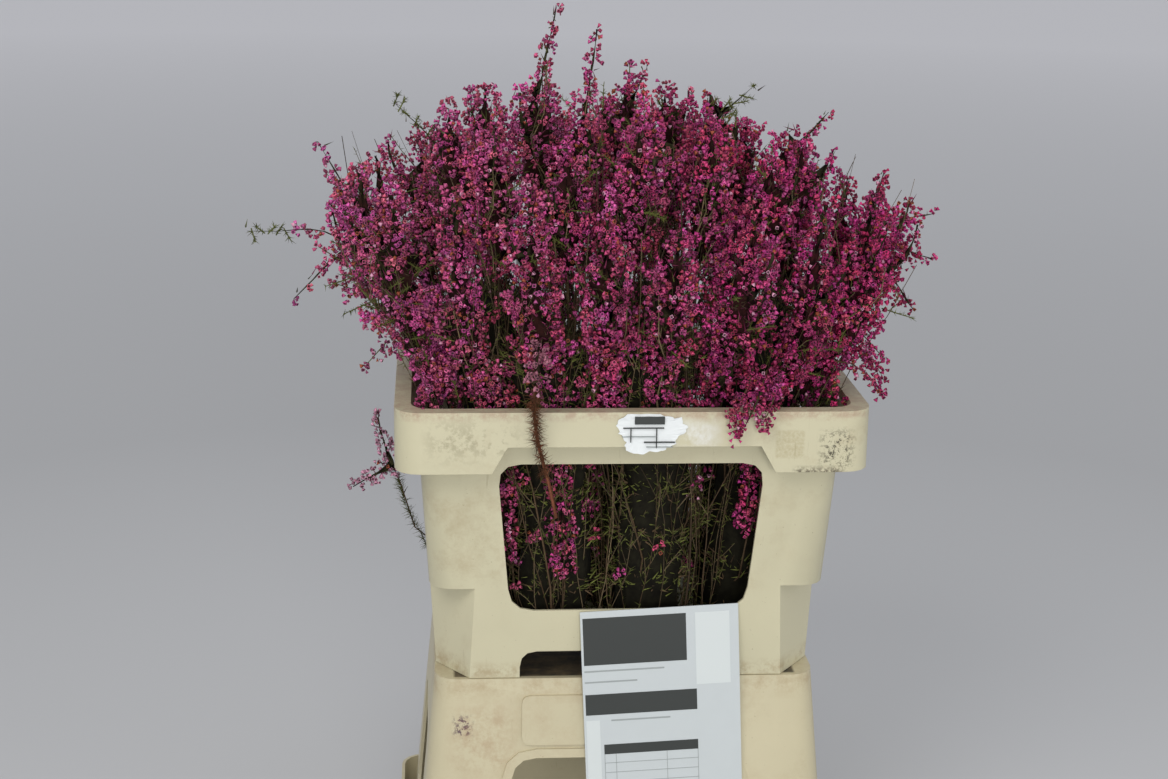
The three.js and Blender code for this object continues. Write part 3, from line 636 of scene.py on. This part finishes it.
def add_runners(heap, own, points, count):
    """Thin stems that climb just under the bells."""
    low, high = points[:, 2].min(), points[:, 2].max()
    levels = np.linspace(low, high - 0.3 * (high - low), 7)
    window = (high - low) / 6
    middles, widths = [], []
    for level in levels:
        near = points[np.abs(points[:, 2] - level) < window]
        middle = np.median(near, axis=0) if len(near) else points.mean(axis=0)
        middles.append([middle[0], middle[1], level])
        reach = np.linalg.norm(near[:, :2] - middle[:2], axis=1)
        widths.append(np.median(reach) if len(near) else 0.01)
    turns = rng.uniform(0, 2 * math.pi, count)
    sides = np.column_stack([np.cos(turns), np.sin(turns), np.zeros(count)])
    lines = np.array(middles)[None] + sides[:, None] * np.array(widths)[None, :, None] * 0.85
    lines += rng.normal(scale=0.0015, size=lines.shape)
    away = np.array([max(own.find_nearest(Vector(p))[3] for p in line) for line in lines])
    lines = lines[away < RUNNER_AWAY]
    count = len(lines)
    if not count:
        return
    pale = BARK_PALE * rng.uniform(0.3, 0.95, (count, 1))
    tubes(heap, lines, np.linspace(0.001, 0.0005, 7)[None].repeat(count, 0), pale, TWIG_BARK)
    needles_along(heap, lines, 36, NEEDLE_LENGTH, np.tile(LEAF_GREEN * 0.8, (count, 1)))


def add_whorls(heap, tree, own, points, corners, tint_of):
    """Small bunches of bells, close together, all over the thin parts."""
    for place, normal in zip(*sample_surface(points, corners, THIN_GAP)):
        seen = how_seen(tree, place, normal)
        if thickness(own, place, normal) > THIN or seen == "hidden":
            continue
        if seen == "open" and rng.random() < 0.2:
            continue
        if np.linalg.norm(GREEN_TIPS - place, axis=1).min() < GREEN_REACH:
            add_green_tuft(heap, place, unit(normal + [0, 0, 0.6]), THIN_RADIUS)
        else:
            axis = unit(normal + [0, 0, 0.1] + rng.normal(scale=0.2, size=3))
            add_cluster(heap, place, axis, THIN_RADIUS * rng.uniform(0.8, 1.2), 5, tint_of(place))


def on_flank(place, normal):
    """Whether a place is where the mass bulges over the lip, on the left or on the right."""
    left = normal[0] < -0.4 and place[0] < -0.16 and 0.54 < place[2] < 0.68
    right = normal[0] > 0.4 and place[0] > 0.16 and place[2] < 0.58
    return left or right


def dress_spray(name, tree, runners=3, greens=None, tint_of=petal_tint, core=True):
    """All that stands for one flowering node: its shade, thin stems and clusters of bells."""
    heap = Heap()
    points, corners = mesh_arrays(nodes[name])
    own = BVHTree.FromPolygons(points.tolist(), corners.tolist())
    if core:
        add_core(heap, name)
        add_core_needles(heap, own, points, corners)
    if runners:
        add_runners(heap, own, points, runners)
    add_whorls(heap, tree, own, points, corners, tint_of)
    places, normals = sample_surface(points, corners, CLUSTER_GAP)
    for place, normal in zip(places, normals):
        seen = how_seen(tree, place, normal)
        deep = thickness(own, place, normal)
        if deep < THIN or rng.random() > KEPT[seen]:
            continue
        radius = float(np.clip(0.45 * deep, *CLUSTER_RADIUS)) * rng.uniform(0.82, 1.12)
        flank = on_flank(place, normal)
        if flank:
            place = place + normal * FLANK_SHIFT
        axis = unit(normal + [0, 0, 0.35] + rng.normal(scale=0.15, size=3))
        to_tip = np.linalg.norm(GREEN_TIPS - place, axis=1).min()
        green_share = greens if greens is not None else 0.15 - 0.1 * side_share(place[0])
        if greens is None and np.linalg.norm(GREEN_PATCH - place) < GREEN_PATCH_REACH:
            green_share = 0.45
        if to_tip < GREEN_REACH or rng.random() < green_share:
            add_green_tuft(heap, place, axis, radius * (1.5 if flank else 1))
            continue
        bells = max(4, round(BELLS_FULL * FULLNESS[seen] * (radius / CLUSTER_RADIUS[1]) ** 1.5))
        tint = tint_of(place)
        add_cluster(heap, place - normal * 0.12 * radius, axis, radius, bells, tint)
        if seen != "hidden" and rng.random() < (FLANK_SPIKES if flank else SPIKES):
            rise, stretch = (0.35, FLANK_STRETCH) if flank else (0.9, 1)
            add_spike(heap, place, unit(normal + [0, 0, rise]), radius, tint, stretch)
    return heap


def add_spike(heap, place, axis, radius, tint, stretch):
    """A short stack of ever smaller clusters."""
    line = np.stack([place, place + axis * stretch * SPIKE_STEPS[-1]])[None]
    tubes(heap, line, np.array([[0.0007, 0.0004]]), (LEAF_GREEN * 0.8)[None], TWIG_BARK)
    for step, share, bells in zip(SPIKE_STEPS, SPIKE_SHARES, SPIKE_BELLS):
        middle = place + axis * step * stretch * min(1, radius / SPIKE_FULL)
        middle = middle + rng.normal(scale=0.001, size=3)
        add_cluster(heap, middle, axis, radius * share, bells, tint)


# The stems inside the crate


def inner_half(z):
    """Half the length and width of the room inside the crate and between the blooms."""
    return np.stack([np.interp(z, INSIDE[:, 0], INSIDE[:, k]) for k in (1, 2)], -1)


def keep_inside(places, room=0.0):
    """Moves places back that are nearer than room to the crate's wall or a cut corner."""
    limit = inner_half(places[..., 2]) - room
    places[..., :2] = np.clip(places[..., :2], -limit, limit)
    beyond = np.abs(places[..., :2]) @ CUT_WAY / (CUT_REACH - room)
    beyond = np.where(places[..., 2] < CUT_TOP, np.maximum(beyond, 1), 1)
    places[..., :2] /= beyond[..., None]


def thicket_lines(foot, count):
    """Twigs that rise from around a bunch's foot and spread with the crate."""
    steps = 8
    heads = rng.uniform(*THICKET_HEAD, count)
    share = np.linspace(0, 1, steps)
    z = THICKET_FOOT + (heads[:, None] - THICKET_FOOT) * share
    start = foot + rng.normal(scale=(0.03, 0.026), size=(count, 2))
    half_foot = inner_half(np.array(THICKET_FOOT))
    start = np.clip(start, -half_foot * 0.97, half_foot * 0.97)
    end = start * inner_half(heads) / half_foot + rng.normal(scale=(0.036, 0.03), size=(count, 2))
    bow, sway = rng.normal(scale=0.01, size=(2, count, 1, 2))
    turn = (share * math.pi)[None, :, None]
    waves = bow * np.sin(turn) + sway * np.sin(2 * turn)
    level = start[:, None] + (end - start)[:, None] * (share**1.3)[None, :, None] + waves
    level += rng.normal(scale=0.0009, size=level.shape)
    lines = np.concatenate([level, z[..., None]], -1)
    keep_inside(lines)
    return lines


def bunch_foot(name):
    """Where a bunch stands on the crate's floor."""
    points, _ = mesh_arrays(nodes[name])
    return points[points[:, 2] < 0.3][:, :2].mean(axis=0)


def dress_stems(name):
    """One bunch: its branched trunk, thin twigs with needles, and flowers among them."""
    heap = Heap()
    if name == SIDE_TWIG_ON:
        length, green = NEEDLE_LENGTH * 1.4, LEAF_GREEN[None] * 0.7
        needles_along(heap, SIDE_TWIG[None], 300, length, green, 0.7, (0.2, 1), THIN_NEEDLE)
    points, corners, normals = welded(nodes[name])
    bark_tints = np.tile(BARK * 0.8, (len(points), 1))
    heap.add(points - normals * STEM_INSET, corners, bark_tints, TWIG_BARK)
    foot = BUNCH_FEET[name]
    lines = thicket_lines(foot, THICKET_TWIGS)
    count = len(lines)
    thick = np.where(rng.random((count, 1)) < 0.12, 0.0014, rng.uniform(0.0004, 0.0008, (count, 1)))
    radii = np.linspace(1, 0.5, lines.shape[1])[None] * thick
    shades = np.where(rng.random((count, 1)) < 0.25, BARK_PALE * 0.7, BARK)
    shades = shades * rng.uniform(0.4, 1.1, (count, 1))
    tubes(heap, lines, radii, shades, TWIG_BARK)
    greens = np.where(rng.random((count, 1)) < 0.6, LEAF_GREEN * 1.1, LEAF_DARK)
    needles_along(heap, lines, 34, NEEDLE_LENGTH, greens, span=(0.04, 0.8))
    add_side_twigs(heap, lines)
    add_shaded_heart(heap, np.median(lines, axis=0))
    add_skirt(heap, foot)
    return heap


def add_skirt(heap, foot):
    """Bells that crowd against the crate's mouth on the side where the bunch stands."""
    tries = rng.uniform(-1, 1, (SKIRT, 2)) * MOUTH
    inward = (MOUTH - np.abs(tries)).min(axis=1)
    tries = tries[inward < MOUTH_DEPTH]
    feet = np.array([*BUNCH_FEET.values()])
    spread_feet = feet / np.abs(feet).max(axis=0)
    nearest = np.linalg.norm(tries[:, None] / MOUTH - spread_feet, axis=2).argmin(axis=1)
    mine = nearest == np.linalg.norm(feet - foot, axis=1).argmin()
    for x, y in tries[mine]:
        place = np.array([x, y, rng.uniform(*SKIRT_LEVELS)])
        outward = unit(np.array([x, y, 0.0]) / [*MOUTH, 1])
        if rng.random() < SKIRT_GREEN:
            add_green_tuft(heap, place, unit(outward * 0.4 + [0, 0, 1]), 0.007)
        else:
            axis, radius = unit(outward + [0, 0, 0.5]), rng.uniform(*SKIRT_RADIUS)
            add_cluster(heap, place, axis, radius, SKIRT_BELLS, petal_tint(place))


def add_shaded_heart(heap, middle):
    """A dark tube that paints the shade in the dense middle of a bunch up to the blooms, rough with
    needles.
    """
    middle = middle[middle[:, 2] < HEART_TOP]
    sides = HEART_SIDES
    swell = rng.uniform(*HEART_SWELL, (len(middle), sides, 1))
    rings = middle[:, None] + ring_of(sides, HEART_RADIUS, 0)[None] * swell
    keep_inside(rings, HEART_NEEDLE_LENGTH[1])
    points = np.vstack([rings.reshape(-1, 3), middle[[0, -1]]])
    foot_end, head_end = len(points) - 2, len(points) - 1
    bands = [band_of(sides, k * sides, (k + 1) * sides) for k in range(len(middle) - 1)]
    i = np.arange(sides)
    j = (i + 1) % sides
    top = (len(middle) - 1) * sides
    foot_fan = np.column_stack([j, i, np.full(sides, foot_end)])
    head_fan = np.column_stack([top + i, top + j, np.full(sides, head_end)])
    corners = np.vstack([*bands, foot_fan, head_fan])
    heap.add(points, corners, np.tile(HEART_SHADE, (len(points), 1)), CORE)
    outward = rings - middle[:, None] + rng.normal(scale=0.01, size=rings.shape)
    ways = unit(outward).reshape(-1, 3)
    count = len(ways) * HEART_NEEDLES
    picked = rng.integers(0, len(ways), count)
    places = rings.reshape(-1, 3)[picked] + rng.normal(scale=0.006, size=(count, 3))
    keep_inside(places, HEART_NEEDLE_LENGTH[1])
    ways = unit(ways[picked] + [0, 0, 0.5] + rng.normal(scale=0.4, size=(count, 3)))
    colours = np.where(rng.random((count, 1)) < 0.65, LEAF_GREEN, BARK)
    colours = colours * rng.uniform(0.6, 2.0, (count, 1))
    stamp(heap, NEEDLE, places, ways, rng.uniform(*HEART_NEEDLE_LENGTH, count), colours, LEAF)


def add_side_twigs(heap, lines):
    """Short twigs off the long ones, some with a bud or a few bells at the tip."""
    places, ways = along(lines, rng.uniform(0.08, 0.97, (len(lines), TWIGS_EACH)))
    places, ways = places.reshape(-1, 3), ways.reshape(-1, 3)
    axes = unit(ways + 0.6 * unit(rng.normal(size=ways.shape)))
    count = len(places)
    tips = places + axes * rng.uniform(*TWIG_LENGTH, (count, 1))
    keep_inside(tips)
    middles = (places + tips) / 2 + rng.normal(scale=0.001, size=tips.shape)
    sides = np.stack([places, middles, tips], 1)
    shades = BARK_PALE * rng.uniform(0.2, 0.7, (count, 1))
    tubes(heap, sides, np.tile([TWIG_RADII], (count, 1)), shades, TWIG_BARK)
    needles_along(heap, sides, 8, NEEDLE_LENGTH * 0.9, np.tile(LEAF_GREEN * 1.15, (count, 1)))
    chance = rng.random(count)
    upward = np.array([0, 0, 1.0])
    buds = tips[chance < BUD_SHARE]
    axes, sizes = np.tile(upward, (len(buds), 1)), np.full(len(buds), BUD_LENGTH)
    stamp(heap, BUD, buds, axes, sizes, np.tile(PETAL_PALE, (len(buds), 1)), PETAL)
    for tip in tips[chance > 1 - bell_chance(tips)]:
        add_cluster(heap, tip, upward, TWIG_CLUSTER_RADIUS, TWIG_CLUSTER_BELLS, petal_tint(tip))


def bell_chance(tips):
    """How likely a twig's tip flowers: near the lip, at both ends, in two parts of the window."""
    x, y, z = tips.T
    front = y < -0.03
    chance = np.full(len(tips), 0.05)
    chance[np.abs(x) > 0.14] = 0.25
    chance[front & (x > 0.07) & (z > 0.36)] = 0.35
    chance[front & (x < -0.02) & (x > -0.1) & (z > 0.32)] = 0.4
    chance[z > 0.485] = 0.28
    return chance


# The crates

EDGE_SOFTNESS, SHARP_FROM, FLAT_WITHIN = 0.0014, math.radians(34), math.radians(1)


def dress_crate(node, name, material):
    """A copy of the solid with soft edges."""
    mesh = nodes[node].data.copy()
    whole = bmesh.new()
    whole.from_mesh(mesh)
    bmesh.ops.remove_doubles(whole, verts=whole.verts, dist=1e-5)
    edges = {"verts": whole.verts, "edges": whole.edges}
    bmesh.ops.dissolve_limit(whole, angle_limit=FLAT_WITHIN, **edges)
    for face in whole.faces:
        face.smooth = True
    whole.to_mesh(mesh)
    whole.free()
    mesh.materials.clear()
    mesh.materials.append(material)
    mesh.set_sharp_from_angle(angle=SHARP_FROM)
    made = linked(name, mesh)
    soften = made.modifiers.new("soft_edges", "BEVEL")
    soften.width = EDGE_SOFTNESS
    soften.segments = 2
    soften.limit_method = "ANGLE"
    soften.angle_limit = SHARP_FROM
    soften.harden_normals = True
    return made


def place_piece(obj, slot, *replaced):
    """Puts a piece on the one body and hides the nodes that it replaces. The slot argument is not
    used.
    """
    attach(obj, "root")
    if replaced:
        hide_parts(*replaced)
    return obj


# The first two colours are painted shade: near black inside the crate, and under the crate on the
# base crate's top.
PAINTED_INSIDE_SHADE, PAINTED_UNDER_SHADOW, MOULD = linear(40, 32, 24), linear(30, 24, 18), linear(70, 64, 48)
MOULD_EDGE, STAIN, GLUE = linear(74, 64, 46), linear(136, 128, 100), linear(160, 146, 106)
WHITISH, RIM_WEAR, FOOT_DIRT = linear(220, 220, 214), linear(164, 132, 112), linear(150, 126, 88)
RUST, PURPLE, TOP_DIRT = linear(150, 108, 72), linear(74, 50, 70), linear(158, 134, 98)
crate_patches = [
    # Painted shade: near black all over the floor inside the crate, under the stems.
    ((-0.13, -0.1, 0.24), (0.13, 0.1, 0.2815), 0.001, 20, (0.0, 0.1), 0.9, PAINTED_INSIDE_SHADE),
    ((-0.17, -0.16, 0.462), (-0.10, -0.14, 0.49), 0.01, 110, (0.48, 0.58), 0.5, STAIN),
    ((0.118, -0.16, 0.46), (0.142, -0.14, 0.484), 0.0012, 300, (0.36, 0.6), 0.5, GLUE),
    ((0.158, -0.16, 0.452), (0.182, -0.13, 0.482), 0.006, 330, (0.5, 0.56), 0.95, MOULD),
    ((0.135, -0.16, 0.4455), (0.176, -0.13, 0.451), 0.003, 260, (0.44, 0.54), 0.9, MOULD_EDGE),
    ((0.03, -0.16, 0.47), (0.068, -0.14, 0.492), 0.007, 70, (0.38, 0.6), 0.8, WHITISH),
    ((-0.21, -0.16, 0.494), (0.21, 0.16, 0.502), 0.003, 90, (0.42, 0.6), 0.6, RIM_WEAR),
    ((-0.19, -0.15, 0.25), (0.19, 0.15, 0.262), 0.006, 60, (0.45, 0.6), 0.55, FOOT_DIRT),
]
base_patches = [
    # Painted shadow: near black on the base crate's top where the crate stands on it.
    ((-0.15, -0.112, 0.2475), (0.15, 0.112, 0.2515), 0.0012, 20, (0.0, 0.1), 0.95, PAINTED_UNDER_SHADOW),
    ((-0.15, -0.16, 0.198), (-0.135, -0.10, 0.216), 0.003, 240, (0.5, 0.56), 0.9, PURPLE),
    ((-0.15, -0.16, 0.165), (-0.10, -0.10, 0.225), 0.012, 70, (0.42, 0.62), 0.35, RUST),
    ((-0.10, -0.16, 0.18), (0.0, -0.10, 0.24), 0.02, 40, (0.45, 0.7), 0.2, RUST),
    ((-0.21, -0.16, 0.235), (0.21, 0.16, 0.252), 0.008, 60, (0.42, 0.62), 0.5, TOP_DIRT),
]
crate_plastic = plastic_material("cream_plastic", CREAM, crate_patches)
base_plastic = plastic_material("cream_plastic_base", CREAM_BASE, base_patches)
crate_body = dress_crate("crate", "crate_body", crate_plastic)
place_piece(crate_body, "crate_plastic", "crate")
base_body = dress_crate("base_crate", "base_crate_body", base_plastic)
place_piece(base_body, "base_plastic", "base_crate")


# The heath itself

blooms = sorted(n for n in nodes if n.startswith("bloom_") and n != "bloom_side")
stems = sorted(n for n in nodes if n.startswith("stems_"))
everything = tree_of([*blooms, "crate", "base_crate"])
BUNCH_FEET = {name: bunch_foot(name) for name in stems}
for name in blooms:
    heap = dress_spray(name, everything)
    place_piece(heap.build(name.replace("bloom", "spray"), PLANT_MATERIALS), "bloom", name)
for name in stems:
    heap = dress_stems(name)
    place_piece(heap.build(name.replace("stems", "thicket"), PLANT_MATERIALS), "stem", name)


# Lines of the twigs that hang over the lip: three at the front, three on the right
DROOPS = np.array([
    [(0.112, -0.126, 0.53), (0.104, -0.146, 0.518), (0.09, -0.157, 0.5), (0.082, -0.159, 0.484)],
    [(0.1, -0.13, 0.534), (0.094, -0.148, 0.524), (0.086, -0.157, 0.512), (0.078, -0.158, 0.499)],
    [(0.122, -0.13, 0.53), (0.117, -0.148, 0.52), (0.111, -0.158, 0.506), (0.105, -0.16, 0.494)],
    [(0.165, -0.112, 0.535), (0.185, -0.12, 0.534), (0.2, -0.124, 0.524), (0.209, -0.127, 0.512)],
    [(0.165, -0.085, 0.545), (0.19, -0.092, 0.545), (0.206, -0.1, 0.534), (0.215, -0.104, 0.52)],
    [(0.165, -0.05, 0.54), (0.19, -0.055, 0.545), (0.204, -0.06, 0.535), (0.212, -0.065, 0.522)],
])


DROOP_RADII = (0.0009, 0.0008, 0.0006, 0.0004)
DROOP_CLUSTERS, DROOP_CLUSTER_RADIUS, DROOP_BELLS = 8, (0.006, 0.0078), 10


def dress_droops():
    """Twigs in full flower that hang over the lip at the front and on the right."""
    heap = Heap()
    count = len(DROOPS)
    tubes(heap, DROOPS, np.tile(DROOP_RADII, (count, 1)), np.tile(BARK, (count, 1)), TWIG_BARK)
    places, ways = along(DROOPS, np.tile(np.linspace(0.05, 1, DROOP_CLUSTERS), (count, 1)))
    for place, way in zip(places.reshape(-1, 3), ways.reshape(-1, 3)):
        axis, radius = unit(way + [0, -0.9, 0.2]), rng.uniform(*DROOP_CLUSTER_RADIUS)
        add_cluster(heap, place, axis, radius, DROOP_BELLS, petal_tint(place) * 0.85)
    return heap.build("drooping_sprigs", PLANT_MATERIALS)


place_piece(dress_droops(), "bloom")


def pale_petal(place):
    return PETAL_PALE * rng.uniform(0.6, 0.95)


def dress_side_sprig():
    heap = dress_spray("bloom_side", everything, runners=0, greens=0.2, tint_of=pale_petal)
    return heap.build("side_sprig", PLANT_MATERIALS)


place_piece(dress_side_sprig(), "bloom", "bloom_side")


def brown_petal(place):
    return PETAL_FADED * rng.uniform(0.7, 1.2)


WITHERED_LINE = np.array([
    (-0.068, -0.16, 0.418), (-0.072, -0.161, 0.44), (-0.082, -0.1595, 0.478),
    (-0.085, -0.162, 0.505), (-0.084, -0.167, 0.527),
])
WHORLS, WHORL_HALF = np.linspace(0.34, 0.96, 9), 0.022  # in shares of the line


def dress_withered_stem():
    """The broken stem with whorls of brown needles below its head."""
    heap = Heap()
    points, corners, _ = welded(nodes["withered_sprig"])
    heap.add(points, corners, np.tile(WITHERED_STEM, (len(points), 1)), TWIG_BARK)
    twig, brown, reddish = WITHERED_LINE[None], WITHERED[None], WITHERED_STEM[None]
    for share in WHORLS:
        span = (share - WHORL_HALF, share + WHORL_HALF)
        needles_along(heap, twig, 55, 0.0105, brown, -0.35, span, THIN_NEEDLE)
    needles_along(heap, twig, 130, 0.006, brown, 0.7, (0.3, 1.0), THIN_NEEDLE)
    needles_along(heap, twig, 30, 0.006, reddish, 0.9, (0.0, 0.3), THIN_NEEDLE)
    return heap.build("withered_stem", PLANT_MATERIALS)


place_piece(dress_withered_stem(), "withered", "withered_sprig")
withered_heap = dress_spray("withered_bloom", everything, 0, greens=0.1, tint_of=brown_petal)
withered_head = withered_heap.build("withered_head", PLANT_MATERIALS)
place_piece(withered_head, "withered", "withered_bloom")


# The card and the torn label

card_frame = (
    Matrix.Translation(CARD_MIDDLE)
    @ Matrix.Rotation(-CARD_LEAN, 4, "X")
    @ Matrix.Rotation(-CARD_TURN, 4, "Y")
)


def block(name, low, high, material):
    """A box between two corners."""
    x, y, z = zip(low, high)
    points = [(a, b, c) for a in x for b in y for c in z]
    faces = [(0, 1, 3, 2), (4, 6, 7, 5), (0, 4, 5, 1), (2, 3, 7, 6), (0, 2, 6, 4), (1, 5, 7, 3)]
    mesh = bpy.data.meshes.new(name)
    mesh.from_pydata(points, [], faces)
    mesh.materials.append(material)
    return linked(name, mesh)


def print_on_card(name, left, top, width, height, material):
    """A plain mark on the card's face. Its place is in millimetres from the card's upper left."""
    x, z = -CARD_HALF[0] + left / 1000, CARD_HALF[2] - top / 1000
    front = -CARD_HALF[1]
    low = (x, front - PRINT_RISE, z - height / 1000)
    made = block(name, low, (x + width / 1000, front + 1e-4, z), material)
    made.data.transform(card_frame)
    place_piece(made, "card")


white_card = paper_material("card_paper", PAPER)
black_ink = plain_material("card_ink", INK, 0.5)
grey_ink = plain_material("card_pale_ink", INK_PALE, 0.5)
faint_ink = plain_material("card_faint_ink", linear(204, 210, 209), 0.5)
card = nodes["label_card"]
card.data.materials.clear()
card.data.materials.append(white_card)
print_on_card("card_header", 2, 6, 90, 43, black_ink)
print_on_card("card_band", 2, 76, 98, 19, black_ink)
print_on_card("card_small_band", 17, 123, 83, 9, black_ink)
print_on_card("card_side_panel", 100, 6, 30, 66, faint_ink)
print_on_card("card_foot_panel", 2, 100, 12, 70, faint_ink)
for i, (left, top, width) in enumerate([(2, 54, 70), (2, 64, 46), (24, 100, 52)]):
    print_on_card(f"card_line_{i}", left, top, width, 1.4, grey_ink)
for i in range(4):
    print_on_card(f"card_rule_{i}", 17, 140 + 9 * i, 83, 0.5, grey_ink)
for i, left in enumerate((17, 27, 72, 99.5)):
    print_on_card(f"card_upright_{i}", left, 132, 0.5, 35, grey_ink)

torn_paper = paper_material("torn_paper", linear(224, 228, 228))
TORN_MIDDLE, TORN_HALF = (0.012, 0.484), (0.0275, 0.0185)  # in x and z
TORN_TOP = 0.4992  # it ends where the lip's face does
TORN_THICKNESS = 0.00025
LIP_FACE = -0.1503
MARK_FRONT, MARK_BACK = LIP_FACE - 0.0022, LIP_FACE - 0.0004


def torn_outline(count):
    """Points in x and z round the ragged scrap."""
    turn = np.arange(count) / count * 2 * math.pi
    ragged = 1 + 0.1 * np.sin(3 * turn + 1) + 0.05 * np.sin(5 * turn)
    ragged = ragged + rng.normal(scale=0.05, size=count)
    x = TORN_MIDDLE[0] + TORN_HALF[0] * ragged * np.cos(turn)
    z = TORN_MIDDLE[1] + TORN_HALF[1] * ragged * np.sin(turn)
    return np.column_stack([x, np.minimum(z, TORN_TOP)])


def torn_label():
    """A thin scrap with a ragged edge, a little off the lip where it curls."""
    count, rings = 72, 4
    edge = torn_outline(count)
    middle = np.array(TORN_MIDDLE)
    points = [(middle[0], LIP_FACE - 0.0004, middle[1])]
    for ring in range(1, rings + 1):
        share = ring / rings
        for x, z in middle + (edge - middle) * share:
            lift = 0.0005 + 0.0011 * share**3 * (0.5 + 0.5 * math.sin(9 * x / 0.02))
            points.append((x, LIP_FACE - lift, z))
    faces = [(0, 1 + j, 1 + (j + 1) % count) for j in range(count)]
    for ring in range(rings - 1):
        a, b = 1 + ring * count, 1 + (ring + 1) * count
        for j in range(count):
            k = (j + 1) % count
            faces.append((a + j, b + j, b + k, a + k))
    mesh = bpy.data.meshes.new("torn_label")
    mesh.from_pydata(points, [], faces)
    mesh.materials.append(torn_paper)
    made = linked("torn_label", mesh)
    thick = made.modifiers.new("thickness", "SOLIDIFY")
    thick.thickness = TORN_THICKNESS
    return made


place_piece(torn_label(), "card")
# Plain marks on the scrap: left, foot, width, height and ink
for i, (x, z, width, height, ink) in enumerate([
    (-0.001, 0.4905, 0.025, 0.0065, black_ink),
    (-0.0105, 0.4868, 0.034, 0.0008, black_ink),
    (-0.0115, 0.4795, 0.028, 0.0006, grey_ink),
    (0.007, 0.4745, 0.026, 0.0009, black_ink),
    (0.009, 0.4705, 0.022, 0.0006, grey_ink),
    (-0.0045, 0.475, 0.0008, 0.0125, black_ink),
    (0.017, 0.47, 0.0008, 0.017, black_ink),
]):
    low, high = (x, MARK_FRONT, z), (x + width, MARK_BACK, z + height)
    place_piece(block(f"torn_label_line_{i}", low, high, ink), "card")


# Floor, light and camera

FLOOR_HALF = 40.0
# Painted light and shade: the floor's colour is darker at about 1.6 m and paler far off, for how
# the backdrop is lit.
FLOOR_PAINTED_LIGHT = [  # distance from the crates in metres, and the floor's colour there
    (0.5, linear(196, 197, 199)),
    (1.6, linear(184, 185, 187)),
    (4.0, linear(204, 205, 208)),
    (9.0, linear(232, 232, 236)),
]


def pale_floor():
    """A wide floor that fills the picture, its colour painted with light and shade: darker at about
    1.6 m, then growing paler with the distance.
    """
    corners = [(x * FLOOR_HALF, y * FLOOR_HALF, 0) for x, y in ((-1, -1), (1, -1), (1, 1), (-1, 1))]
    mesh = bpy.data.meshes.new("floor")
    mesh.from_pydata(corners, [], [(0, 1, 2, 3)])
    material, tree, shader = new_material("floor", 0.9)
    place = add_node(tree, "ShaderNodeTexCoord").outputs["Object"]
    distance = add_node(tree, "ShaderNodeVectorMath", operation="LENGTH")
    tree.links.new(place, distance.inputs[0])
    furthest = FLOOR_PAINTED_LIGHT[-1][0]
    share = threshold(tree, distance.outputs["Value"], 0, furthest)
    shade = ramp(tree, share, [(metres / furthest, colour) for metres, colour in FLOOR_PAINTED_LIGHT])
    tree.links.new(shade, shader.inputs["Base Color"])
    mesh.materials.append(material)
    linked("floor", mesh)


def area_light(name, at, target, size, watts, colour):
    data = bpy.data.lights.new(name, "AREA")
    data.shape = "DISK"
    data.size = size
    data.energy = watts
    data.color = colour
    lamp = linked(name, data)
    lamp.location = at
    lamp.rotation_euler = (Vector(target) - Vector(at)).to_track_quat("-Z", "Y").to_euler()


def camera():
    """The camera at the fitted place, turned by its yaw, pitch and roll."""
    cos_yaw, sin_yaw = math.cos(CAMERA_YAW), math.sin(CAMERA_YAW)
    cos_pitch, sin_pitch = math.cos(CAMERA_PITCH), math.sin(CAMERA_PITCH)
    forward = Vector((sin_yaw * cos_pitch, cos_yaw * cos_pitch, -sin_pitch))
    level = Vector((cos_yaw, -sin_yaw, 0))
    over = level.cross(forward)
    right = level * math.cos(CAMERA_ROLL) + over * math.sin(CAMERA_ROLL)
    up = over * math.cos(CAMERA_ROLL) - level * math.sin(CAMERA_ROLL)
    data = bpy.data.cameras.new("camera")
    data.lens, data.sensor_width = LENS, SENSOR
    made = linked("camera", data)
    turned = Matrix((right, up, -forward)).transposed().to_4x4()
    made.matrix_world = Matrix.Translation(CAMERA_AT) @ turned
    bpy.context.scene.camera = made


pale_floor()
area_light("key", (-1.3, -2.2, 2.7), (0, 0, 0.5), 1.6, 33, (1, 0.985, 0.96))
area_light("front", (0.1, -3.4, 1.0), (0, 0, 0.2), 1.3, 42, (1, 0.995, 0.98))
area_light("side", (2.4, -1.4, 1.7), (0, 0, 0.4), 2.0, 9, (0.97, 0.98, 1))
camera()
world = bpy.data.worlds.new("world")
world.use_nodes = True
world.node_tree.nodes["Background"].inputs["Color"].default_value = (0.96, 0.97, 1, 1)
world.node_tree.nodes["Background"].inputs["Strength"].default_value = 0.58
bpy.context.scene.world = world
bpy.context.scene.view_settings.view_transform = "Standard"
